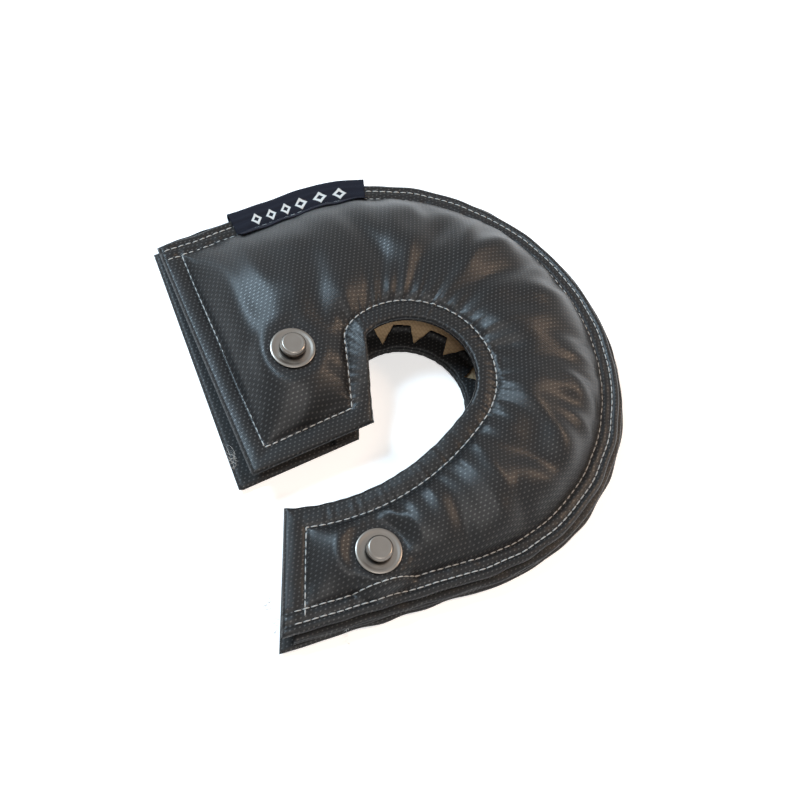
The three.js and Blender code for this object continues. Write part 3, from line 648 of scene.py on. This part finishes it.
print("stitching")
stitch = {"length": 3.3, "gap": 0.5, "radius": 0.29, "sides": 6, "rings": 6, "lift": 0.12, "arch": 0.35,
          "sunk": 0.6, "taper": 0.08}


def makeStitches(name, paths):
    # Short thread lengths along paths of positions in millimetres, each an arched tapered tube whose
    # height and thickness follow a half sine wave.
    b = stitch
    ring = b["sides"]
    pitch = b["length"] + b["gap"]
    u = np.linspace(0, 1, b["rings"])
    angle = np.linspace(0, 2 * np.pi, ring, endpoint=False)
    arch = (np.sin(np.pi * u) - b["sunk"]) * b["arch"] + b["lift"]
    thick = b["radius"] * np.sqrt(np.clip(np.sin(np.pi * mix(b["taper"], 1 - b["taper"], u)), 0, 1))
    blocks = []
    quads = []
    base = 0
    for path, up in paths:
        travelled = np.concatenate([[0], np.cumsum(np.linalg.norm(np.diff(path, axis=0), axis=1))])
        first = np.arange(b["gap"], travelled[-1] - pitch, pitch)
        along = first[:, None] + b["length"] * u[None, :]
        line = np.stack([np.interp(along, travelled, path[:, k]) for k in range(3)], axis=-1)
        tangent = np.gradient(line, axis=1)
        tangent /= np.linalg.norm(tangent, axis=-1, keepdims=True)
        side = np.cross(tangent, [0, 0, up])
        side /= np.linalg.norm(side, axis=-1, keepdims=True)
        rise = np.cross(side, tangent)
        centre = line + rise * arch[None, :, None]
        around = side[..., None, :] * np.cos(angle)[:, None] + rise[..., None, :] * np.sin(angle)[:, None]
        shell = centre[..., None, :] + around * thick[None, :, None, None]
        ids = base + np.arange(shell[..., 0].size).reshape(shell.shape[:3])
        nextSide = np.roll(ids, -1, axis=2)
        tube = np.stack([ids[:, :-1], nextSide[:, :-1], nextSide[:, 1:], ids[:, 1:]], axis=-1)
        quads.append(tube.reshape(-1, 4))
        for end, turn in ((ids[:, 0], -1), (ids[:, -1], 1)):
            for a in (0, 2):
                cap = np.stack([end[:, 0], end[:, a + 1], end[:, a + 2], end[:, (a + 3) % ring]], axis=-1)
                quads.append(cap[:, ::turn])
        blocks.append(shell.reshape(-1, 3))
        base += ids.size
    return makeMesh(name, np.concatenate(blocks) / 1000, np.concatenate(quads))


def hemLine(panel, count=900):
    # Patch parameters along the hem stitch: up the upper arm's end, round the hole, down the lower end
    inset = sewing["hem"]
    alongS = np.linspace(0.001, 0.999, count)
    edgeT = panel.fromInner(alongS, inset)
    acrossT = np.linspace(0, 1, 500)
    sUp, sDown = panel.fromEnds(acrossT, inset)
    inner, outer = panel.distances(sUp, acrossT)[:2]
    upper = (inner > inset) & (outer > panel.row)
    inner, outer = panel.distances(sDown, acrossT)[:2]
    lower = (inner > inset) & (outer > sewing["hemReach"] * panel.row)
    around = np.min(panel.distances(alongS, edgeT)[2:], axis=0) > inset
    s = np.concatenate([sUp[upper][::-1], alongS[around], sDown[lower]])
    t = np.concatenate([acrossT[upper][::-1], edgeT[around], acrossT[lower]])
    return s, t


def rowLine(panel, inset, count=1200):
    s = np.linspace(0.004, 0.996, count)
    return s, panel.fromOuter(s, inset)


def frontPath(s, t):
    points = wavyPoints(front, s, t, frontPiece["seed"])
    face = frontFace(s, t)[1] + sewn(front, s, t, points, frontPiece["seed"])
    moved = points + shift
    return np.stack([moved.real, moved.imag, face], axis=-1)


def backPath(s, t):
    points = wavyPoints(back, s, t, backPiece["seed"])
    under = backFaces(s, t)[0] - backPiece["relief"] * sewn(back, s, t, points, backPiece["seed"])
    moved = points + shift
    return np.stack([moved.real, moved.imag, np.maximum(under, backPiece["threadRoom"])], axis=-1)


frontStitches = makeStitches("frontStitches", [
    (frontPath(*hemLine(front)), 1),
    (frontPath(*rowLine(front, sewing["row"])), 1),
    (frontPath(*rowLine(front, sewing["secondRow"])), 1),
])
backStitches = makeStitches("backStitches", [
    (backPath(*hemLine(back)), -1),
    (backPath(*rowLine(back, back.row)), -1),
    (backPath(*rowLine(back, back.row - sewing["row"] + sewing["secondRow"])), -1),
])

print("anchors")
turned = {"sides": 72}


def lathe(name, profiles, centre, level, up):
    # Closed profiles of (radius, height) turned round an upright axis.
    blocks = []
    quads = []
    base = 0
    angle = np.linspace(0, 2 * np.pi, turned["sides"], endpoint=False)
    for profile in profiles:
        r, z = np.array(profile, float).T
        ring = centre + r[:, None] * np.exp(1j * angle * up)[None, :]
        blocks.append(place(ring, level + up * z[:, None] + 0 * ring.real).reshape(-1, 3))
        ids = base + np.arange(ring.size).reshape(ring.shape)
        ids = np.concatenate([ids, ids[:, :1]], axis=1)
        quads.append(gridQuads(ids)[:, ::-1])
        base += ring.size
    return makeMesh(name, np.concatenate(blocks), np.concatenate(quads))


def rounded(corners, radius, steps=4):
    # A profile whose corners are rounded with short arcs, from the mean of its neighbours' directions.
    corners = np.array(corners, float)
    line = [corners[0]]
    for before, corner, after in zip(corners, corners[1:], corners[2:]):
        a = before - corner
        b = after - corner
        reach = min(radius, 0.45 * np.hypot(*a), 0.45 * np.hypot(*b))
        a = corner + a / np.hypot(*a) * reach
        b = corner + b / np.hypot(*b) * reach
        for k in np.linspace(0, 1, steps):
            line.append((1 - k) ** 2 * a + 2 * k * (1 - k) * corner + k * k * b)
    line.append(corners[-1])
    return line


def makeAnchor(side, n, centre):
    # Facing washer, and pin with its neck and button head, as turned shapes.
    a = anchors
    name = f"{side}_{('upper', 'lower')[n]}_anchor"
    up = 1 if side == "front" else -1
    seat = (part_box(name + "_washer")[0][2] if up > 0 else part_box(name + "_washer")[1][2]) * 1000
    thick = a["washerThick"]
    washer = rounded([(1.9, 0), (a["washer"] - 0.3, 0), (a["washer"], 0.3), (a["washer"], thick - 0.2),
                      (a["washer"] - 0.9, thick), (a["washer"] - 2.2, thick - 0.28), (7.2, thick - 0.34),
                      (1.9, thick - 0.3)], 0.25)
    washer.append(washer[0])
    plate = lathe(f"{side}{('Upper', 'Lower')[n]}Washer", [washer], centre, seat, up)
    headLow = thick + a["gap"]
    headTop = headLow + a["headHigh"]
    pin = rounded([(0.001, headLow - 0.6), (a["neck"], headLow - 0.6), (a["neck"], headLow + 0.5),
                   (a["head"] - 0.5, headLow + 0.9), (a["head"], headLow + 1.5), (a["head"], headTop - 1.1),
                   (a["head"] - 0.9, headTop), (a["head"] - 2.2, headTop - 0.12), (0.001, headTop - 0.1)],
                  0.45)
    button = lathe(f"{side}{('Upper', 'Lower')[n]}Button", [pin], centre, seat, up)
    return [(plate, name + "_washer"), (button, name + "_pin")]


steelPieces = []
for side in ("front", "back"):
    for n, centre in enumerate(anchors[side]):
        steelPieces += makeAnchor(side, n, centre)

print("label")
label = {
    "from": 0.088, "to": 0.234, "drop": 15.6, "overhang": 4.4, "thick": 0.55, "fold": 2.4, "tuck": 5,
    "lift": 0.5, "curl": 0.9, "curlReach": 6, "width": 70, "along": 120, "across": 60,
    "waves": ((0.28, 9, 3), (0.2, 21, -5)),
}


def makeLabel():
    # A folded tape: upper leaf over the flange, round fold beyond its edge, lower leaf tucked below.
    b = label
    s = np.linspace(b["from"], b["to"], b["along"])[:, None] + np.zeros(b["across"])[None, :]
    v = np.linspace(0, 1, b["across"])[None, :] + 0 * s
    radius = b["fold"]
    upperLength = b["drop"] + b["overhang"] - radius
    total = upperLength + math.pi * radius + b["tuck"]
    run = v * total
    onTop = run < upperLength
    turn = np.clip((run - upperLength) / radius, 0, math.pi)
    after = np.maximum(0, run - upperLength - math.pi * radius)
    inward = np.where(onTop, b["drop"] - run, -b["overhang"] + radius - radius * np.sin(turn) + after)
    u = (s - b["from"]) / (b["to"] - b["from"])
    t = 1 - np.maximum(0, inward) / front.outerPace(s)
    cover = frontFace(s, t)[1] + sewn(front, s, t, front.at(s, t), frontPiece["seed"])
    cover = np.maximum(cover, heights["flange"])
    nearHem = smooth(1 - (b["drop"] - np.maximum(0, inward)) / b["curlReach"])
    upper = cover + b["lift"] + b["curl"] * np.abs(2 * u - 1) ** 6 * nearHem
    for size, uRate, vRate in b["waves"]:
        upper = upper + size * np.sin(u * uRate + v * vRate)
    z = np.where(onTop, upper, mix(upper, upper - 2 * radius, (1 - np.cos(turn)) / 2))
    edge = front.at(s, np.ones_like(s))
    ahead = edge - front.at(s, 0.8 * np.ones_like(s))
    points = edge - ahead / np.abs(ahead) * inward
    uv = np.stack([u * b["width"], run], axis=-1)
    quads = gridQuads(np.arange(points.size).reshape(points.shape))
    piece = makeMesh("label", place(points, z).reshape(-1, 3), quads, uv.reshape(-1, 2))
    return thicken(piece, b["thick"])


labelPiece = makeLabel()

print("frayed threads")
# Tufts: seam end, height, heading in degrees, fibres, reach
fray = {
    "sides": 5, "rings": 12, "radius": 0.08, "tipThin": 1.05, "seed": 5, "fan": 50, "spread": (2, 4, 2),
    "reach": (0.5, 1), "bend": (0.1, 0.5), "sink": (-3, 2), "hump": (0, 3), "floor": 0.4,
    "lean": (0.1, 0.2, 1),
    "tufts": [(-76 - 36j, 15, 160, 16, 8), (-55 - 100j, 12, 185, 16, 9), (-53 - 109j, 9, 200, 14, 8),
              (-22 - 112j, 12, 250, 7, 5)],
}


def makeFray():
    # Loose fibres: each a quadratic curve from a seam end, with a random bend.
    f = fray
    draw = np.random.default_rng(f["seed"])
    u = np.linspace(0, 1, f["rings"])[:, None]
    angle = np.linspace(0, 2 * np.pi, f["sides"], endpoint=False)[:, None]
    blocks = []
    quads = []
    for root, level, heading, count, reach in f["tufts"]:
        for n in range(count):
            a = np.array([middle + draw.uniform(-spread, spread) for middle, spread
                          in zip((root.real, root.imag, level), f["spread"])])
            way = turnBy(heading + draw.uniform(-f["fan"], f["fan"])) * draw.uniform(*f["reach"]) * reach
            bend = turnBy(draw.uniform(0, 360)) * draw.uniform(*f["bend"]) * reach
            c = a + [way.real, way.imag, draw.uniform(*f["sink"])]
            b = 0.5 * (a + c) + [bend.real, bend.imag, draw.uniform(*f["hump"])]
            c[2] = max(c[2], f["floor"])
            line = (1 - u) ** 2 * a + 2 * u * (1 - u) * b + u * u * c
            tangent = np.gradient(line, axis=0)
            tangent /= np.linalg.norm(tangent, axis=1, keepdims=True)
            side = np.cross(tangent, f["lean"])
            side /= np.linalg.norm(side, axis=1, keepdims=True)
            lift = np.cross(side, tangent)
            around = side[:, None] * np.cos(angle) + lift[:, None] * np.sin(angle)
            shell = line[:, None] + around * f["radius"] * (f["tipThin"] - u)[:, :, None]
            ids = np.arange(f["rings"] * f["sides"]).reshape(f["rings"], f["sides"])
            ids = ids + len(blocks) * ids.size
            quads.append(gridQuads(np.concatenate([ids, ids[:, :1]], axis=1))[:, ::-1])
            blocks.append(shell.reshape(-1, 3) + [shift.real, shift.imag, 0])
    return makeMesh("frayedThreads", np.concatenate(blocks) / 1000, np.concatenate(quads))


frayedThreads = makeFray()

print("finishes")


class Field:
    # A shader value that takes part in Python arithmetic.

    def __init__(self, tree, socket):
        self.tree = tree
        self.socket = socket

    def maths(self, operation, *values, swap=False):
        node = self.tree.nodes.new("ShaderNodeMath")
        node.operation = operation
        inputs = list(reversed((self, *values))) if swap else [self, *values]
        for slot, value in zip(node.inputs, inputs):
            if isinstance(value, Field):
                self.tree.links.new(value.socket, slot)
            else:
                slot.default_value = value
        return Field(self.tree, node.outputs[0])

    def __add__(self, other):
        return self.maths("ADD", other)

    def __sub__(self, other):
        return self.maths("SUBTRACT", other)

    def __rsub__(self, other):
        return self.maths("SUBTRACT", other, swap=True)

    def __mul__(self, other):
        return self.maths("MULTIPLY", other)

    def __truediv__(self, other):
        return self.maths("DIVIDE", other)

    def __mod__(self, other):
        return self.maths("FLOORED_MODULO", other)

    __radd__ = __add__
    __rmul__ = __mul__

    def floor(self):
        return self.maths("FLOOR")

    def clamp(self):
        return self.maths("MINIMUM", 1.0).maths("MAXIMUM", 0.0)

    def size(self):
        return self.maths("ABSOLUTE")


class Finish:
    # A material under construction, with one Principled shader.

    def __init__(self, name, constants):
        self.material = bpy.data.materials.new(name)
        self.material.use_nodes = True
        self.tree = self.material.node_tree
        self.shader = self.tree.nodes["Principled BSDF"]
        for key, value in constants.items():
            self.shader.inputs[key].default_value = value

    def node(self, kind, settings=None, sockets=None, output=0):
        made = self.tree.nodes.new(kind)
        for key, value in (settings or {}).items():
            if key == "stops":
                ramp = made.color_ramp
                while len(ramp.elements) < len(value):
                    ramp.elements.new(0.5)
                for stop, (position, colour) in zip(ramp.elements, value):
                    stop.position = position
                    stop.color = (*colour, 1)
            else:
                setattr(made, key, value)
        for key, value in (sockets or {}).items():
            self.put(made.inputs[key], value)
        return Field(self.tree, made.outputs[output])

    def put(self, slot, value):
        if isinstance(value, Field):
            self.tree.links.new(value.socket, slot)
        else:
            slot.default_value = value

    def set(self, **sockets):
        for key, value in sockets.items():
            self.put(self.shader.inputs[key.replace("_", " ")], value)

    def blend(self, factor, a, b):
        a, b = (colour if isinstance(colour, Field) else (*colour, 1) for colour in (a, b))
        return self.node("ShaderNodeMix", {"data_type": "RGBA"}, {0: factor, 6: a, 7: b}, 2)

    def noise(self, place, scale, detail=2.0):
        return self.node("ShaderNodeTexNoise", {}, {"Vector": place, "Scale": scale, "Detail": detail}, 0)

    def relief(self, height, strength, metres):
        return self.node("ShaderNodeBump", {}, {"Strength": strength, "Distance": metres, "Height": height})

    def objectPlace(self):
        return self.node("ShaderNodeTexCoord", output="Object")

    def uvPlace(self):
        return self.node("ShaderNodeUVMap", {"uv_map": "cloth"})

    def axes(self, place):
        parts = self.tree.nodes.new("ShaderNodeSeparateXYZ")
        self.tree.links.new(place.socket, parts.inputs[0])
        return [Field(self.tree, parts.outputs[k]) for k in range(3)]


def satin(finish, place, pitch, turn, scale=1000):
    # Eight-shaft satin: each warp yarn floats over seven picks and dips under the eighth, three picks
    # further on than its neighbour. Returns the height and the mark of the dips.
    turned = finish.node("ShaderNodeMapping", {}, {"Vector": place, "Rotation": (0, 0, math.radians(turn)),
                                                    "Scale": (scale / pitch,) * 3})
    u, v = finish.axes(turned)[:2]
    column = u.floor()
    across = (u - column) * 2 - 1
    along = (v - column * 3) % 8
    roundYarn = 1 - across * across
    middle = along / 4 - 1
    crown = 1 - middle * middle
    dip = (1 - ((along - 0.5).size() * 1.2)).clamp() + (1 - ((8.5 - along) * 1.2)).clamp()
    return roundYarn * (0.25 + 0.75 * crown), dip.clamp() * roundYarn


# The dip colour settings paint a glint on the weave's dips: a lighter colour in place of their highlights.
blackLook = {
    "pitch": 0.72, "turn": 49, "dipGlintShare": 0.95, "dipPaintedGlint": (0.13, 0.127, 0.123),
    "dust": (0.014, 0.0135, 0.0135), "patches": 60, "grains": 900, "patchDust": 0.5, "grainDust": 0.3,
    "gloss": 0.22, "rough": 0.27, "dipRough": -0.08, "patchRough": 0.14,
    "coat": 0.06, "coatRough": 0.42, "bareCoat": 0.6, "dipCoat": 0.4,
    "bump": 0.34, "grainBump": 0.25, "bumpMetres": 0.00022,
}


def coatedCloth(name, colour, look):
    # Black coated satin: broad soft gloss, dips painted lighter as a painted glint, colour a little uneven.
    finish = Finish(name, {"Specular IOR Level": look["gloss"], "Coat Roughness": look["coatRough"]})
    place = finish.objectPlace()
    height, dip = satin(finish, place, look["pitch"], look["turn"])
    patch = finish.noise(place, look["patches"], 3.0)
    grain = finish.noise(place, look["grains"], 2.0)
    # Painted glint: the weave's dips are coloured lighter, standing in for the highlights on them.
    lit = finish.blend(dip * look["dipGlintShare"], colour, look["dipPaintedGlint"])
    dusty = (patch * look["patchDust"] + grain * look["grainDust"]).clamp()
    finish.set(Base_Color=finish.blend(dusty, lit, look["dust"]),
               Roughness=look["rough"] + dip * look["dipRough"] + patch * look["patchRough"],
               Coat_Weight=look["coat"] * (look["bareCoat"] + dip * look["dipCoat"]),
               Normal=finish.relief(height + grain * look["grainBump"], look["bump"], look["bumpMetres"]))
    return finish.material


blackCloth = coatedCloth("blackCoatedCloth", (0.0045, 0.0045, 0.005), blackLook)
backCloth = coatedCloth("darkCoatedCloth", (0.005, 0.0048, 0.0048), dict(blackLook, rough=0.42))
weaveTurn = 0.86


def plainCloth(name, colour, shade, pitch, bump=0.5):
    # Plain weave: warp over weft and back, as a product of two sines.
    finish = Finish(name, {"Specular IOR Level": 0.25, "Sheen Weight": 0.15})
    place = finish.objectPlace()
    sockets = {"Vector": place, "Scale": (1000 / pitch,) * 3, "Rotation": (0, 0, weaveTurn)}
    x, y = finish.axes(finish.node("ShaderNodeMapping", {}, sockets))[:2]
    check = (x * math.pi).maths("SINE") * (y * math.pi).maths("SINE")
    patch = finish.noise(place, 45, 3.0)
    mask = (0.35 + check.size() * 0.4 + patch * 0.25).clamp()
    finish.set(Base_Color=finish.blend(mask, shade, colour), Roughness=0.72 + patch * 0.15)
    finish.set(Normal=finish.relief(check, bump, 0.0003))
    return finish.material


linerCloth = plainCloth("tanLinerCloth", (0.52, 0.37, 0.22), (0.27, 0.18, 0.10), 1.4)
matFelt = plainCloth("silicaMat", (0.78, 0.75, 0.68), (0.62, 0.58, 0.5), 3.0, 0.2)


def threadFinish(name, colour):
    finish = Finish(name, {"Base Color": (*colour, 1), "Sheen Weight": 0.2})
    grain = finish.noise(finish.objectPlace(), 2500, 1.0)
    finish.set(Roughness=0.5 + grain * 0.3)
    return finish.material


thread = threadFinish("greySewingThread", (0.42, 0.41, 0.39))
looseFibre = threadFinish("looseFibre", (0.40, 0.385, 0.36))


steelLook = {"colour": (0.21, 0.19, 0.17), "rough": 0.22, "smears": 220, "smearRough": 0.14,
             "grains": 1400, "grainRough": 0.05, "bump": 0.12, "bumpMetres": 0.0001}


def polishedSteel():
    # Turned stainless, smeared in places, with fine grain.
    look = steelLook
    finish = Finish("polishedSteel", {"Base Color": (*look["colour"], 1), "Metallic": 1.0})
    place = finish.objectPlace()
    smear = finish.noise(place, look["smears"], 3.0)
    grain = finish.noise(place, look["grains"], 2.0)
    finish.set(Roughness=look["rough"] + smear * look["smearRough"] + grain * look["grainRough"],
               Normal=finish.relief(grain, look["bump"], look["bumpMetres"]))
    return finish.material


steel = polishedSteel()
motif = {"pitch": 9, "wide": 3.4, "high": 3.6, "lozengeRow": 10.4, "dash": 2.7, "dashHigh": 1.1,
         "dashRow": 4.6, "from": 9, "to": 63}


def labelWeave():
    # Dark tape weave with a bare pale motif: one row of lozenges over one row of dashes.
    finish = Finish("wovenLabel", {"Specular IOR Level": 0.12})
    u, v = finish.axes(finish.uvPlace())[:2]
    m = motif
    sideways = (u % m["pitch"] - m["pitch"] / 2).size()
    upwards = (v - m["lozengeRow"]).size()
    big = 1 - (sideways / m["wide"] + upwards / m["high"])
    hollow = 1 - (sideways / (m["wide"] / 2) + upwards / (m["high"] / 2))
    lozenge = (big * 12).clamp() * (1 - (hollow * 12).clamp())
    dash = (m["dash"] / 2 - (u % (m["pitch"] / 2) - m["pitch"] / 4).size()) * 8
    line = (m["dashHigh"] / 2 - (v - m["dashRow"]).size()) * 8
    dashes = dash.clamp() * line.clamp()
    inside = ((u - m["from"]) * 40).clamp() * ((m["to"] - u) * 40).clamp()
    mark = (lozenge + dashes).clamp() * inside
    thread = (u * 14).maths("SINE") * (v * 9).maths("SINE")
    wear = finish.noise(finish.uvPlace(), 1.6, 3.0)
    pale = finish.blend(wear, (0.62, 0.62, 0.6), (0.5, 0.5, 0.49))
    ground = finish.blend(wear, (0.005, 0.006, 0.011), (0.010, 0.011, 0.018))
    finish.set(Base_Color=finish.blend(mark, ground, pale), Roughness=0.62 + wear * 0.2)
    finish.set(Normal=finish.relief(thread + mark * 1.5, 0.4, 0.0002))
    return finish.material


tape = labelWeave()


def dress(piece, material, slot, *nodes):
    # Material, ride and the nodes that a piece stands for; slot is not used.
    piece.data.materials.clear()
    piece.data.materials.append(material)
    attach(piece, "root")
    if nodes:
        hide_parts(*nodes)


dress(frontCover, blackCloth, "black_cloth", "front_cover")
dress(backCover, backCloth, "dark_cloth", "back_cover")
dress(frontLiner, linerCloth, "liner_cloth", "front_liner")
dress(backLiner, linerCloth, "liner_cloth", "back_liner")
dress(frontTabs, blackCloth, "black_cloth")
dress(backTabs, backCloth, "dark_cloth")
dress(bandLeaves[0], blackCloth, "black_cloth", "band_cover")
dress(bandLeaves[1], blackCloth, "black_cloth")
dress(frontStitches, thread, "black_cloth")
dress(backStitches, thread, "dark_cloth")
dress(frontMat, matFelt, "mat_felt", "front_insulation")
dress(backMat, matFelt, "mat_felt", "back_insulation")
dress(bandLiner, linerCloth, "liner_cloth", "band_liner")
dress(labelPiece, tape, "label_weave", "label")
dress(frayedThreads, looseFibre, "mat_felt")
for piece, node in steelPieces:
    dress(piece, steel, "steel", node)
for name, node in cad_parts.items():
    finish = (steel if "anchor" in name else linerCloth if "liner" in name
              else matFelt if "insulation" in name else None)
    if finish:
        node.data.materials.clear()
        node.data.materials.append(finish)

print("stage")
stage = {"size": 6.0, "tilt": 29, "heading": 72, "distance": 500, "focal": 1050, "aim": (0, 0, 20),
         "glow": 0.45, "ambient": (1.0, 0.93, 0.87), "ambientStrength": 0.22, "fadeFrom": 0.4, "fadeTo": 0.8}


def raySeen(tree):
    # 1 for camera, glossy and transmission rays, 0 for light that falls on the object
    rays = tree.nodes.new("ShaderNodeLightPath")
    kinds = [Field(tree, rays.outputs[f"Is {kind} Ray"]) for kind in ("Camera", "Glossy", "Transmission")]
    return (kinds[0] + kinds[1] + kinds[2]).clamp()


bpy.ops.mesh.primitive_plane_add(size=stage["size"], location=(0, 0, 0))
floor = bpy.context.object
floor.name = "floor"
floorFinish = Finish("paleFloor", {"Base Color": (0.92, 0.92, 0.92, 1), "Roughness": 0.9,
                                   "Specular IOR Level": 0.1, "Emission Color": (1, 1, 1, 1),
                                   "Emission Strength": stage["glow"]})
seen = raySeen(floorFinish.tree)
floorFinish.set(Emission_Color=floorFinish.blend(seen, (0, 0, 0), (1, 1, 1)))
x, y = floorFinish.axes(floorFinish.objectPlace())[:2]
away = (x * x + y * y).maths("SQRT")
floorFinish.set(Alpha=((stage["fadeTo"] - away) / (stage["fadeTo"] - stage["fadeFrom"])).clamp())
floor.data.materials.append(floorFinish.material)

world = bpy.data.worlds.new("studio")
bpy.context.scene.world = world
world.use_nodes = True
tree = world.node_tree
light = tree.nodes["Background"]
light.inputs[0].default_value = (*stage["ambient"], 1)
light.inputs[1].default_value = stage["ambientStrength"]
show = tree.nodes.new("ShaderNodeBackground")
show.inputs[0].default_value = (1, 1, 1, 1)
blend = tree.nodes.new("ShaderNodeMixShader")
tree.links.new(raySeen(tree).socket, blend.inputs[0])
tree.links.new(light.outputs[0], blend.inputs[1])
tree.links.new(show.outputs[0], blend.inputs[2])
tree.links.new(blend.outputs[0], tree.nodes["World Output"].inputs[0])


def softLight(name, position, size, power, colour):
    # An area light that faces the object.
    lamp = bpy.data.lights.new(name, "AREA")
    lamp.shape = "RECTANGLE"
    lamp.size, lamp.size_y = size
    lamp.energy = power
    lamp.color = colour
    holder = bpy.data.objects.new(name, lamp)
    bpy.context.scene.collection.objects.link(holder)
    away = np.array(position, float)
    holder.location = away
    forward = -away / np.linalg.norm(away)
    side = np.cross(forward, [0, 0, 1])
    side /= np.linalg.norm(side)
    up = np.cross(side, forward)
    matrix = np.eye(4)
    matrix[:3, 0], matrix[:3, 1], matrix[:3, 2], matrix[:3, 3] = side, up, -forward, away
    holder.matrix_world = Matrix(matrix)


softLight("blueBox", (-0.62, 0.36, 0.84), (0.26, 0.34), 15, (0.60, 0.82, 1.0))
softLight("warmBox", (0.80, 0.10, 0.70), (0.2, 0.26), 5, (1.0, 0.70, 0.48))
softLight("topFill", (0.15, -0.75, 1.1), (0.5, 0.5), 6, (1.0, 0.97, 0.94))

camera = bpy.data.cameras.new("camera")
camera.sensor_width = 36
camera.lens = 36 * stage["focal"] / 800
holder = bpy.data.objects.new("camera", camera)
bpy.context.scene.collection.objects.link(holder)
tilt, heading = math.radians(stage["tilt"]), math.radians(stage["heading"])
level = math.sin(tilt)
forward = np.array([math.cos(heading) * level, math.sin(heading) * level, -math.cos(tilt)])
eye = (np.array(stage["aim"]) - stage["distance"] * forward + [shift.real, shift.imag, 0]) / 1000
up = np.array([0, 1, 0]) - forward * forward[1]
up /= np.linalg.norm(up)
matrix = np.eye(4)
matrix[:3, 0], matrix[:3, 1], matrix[:3, 2], matrix[:3, 3] = np.cross(forward, up), up, -forward, eye
holder.matrix_world = Matrix(matrix)
bpy.context.scene.camera = holder
bpy.context.scene.view_settings.view_transform = "Standard"
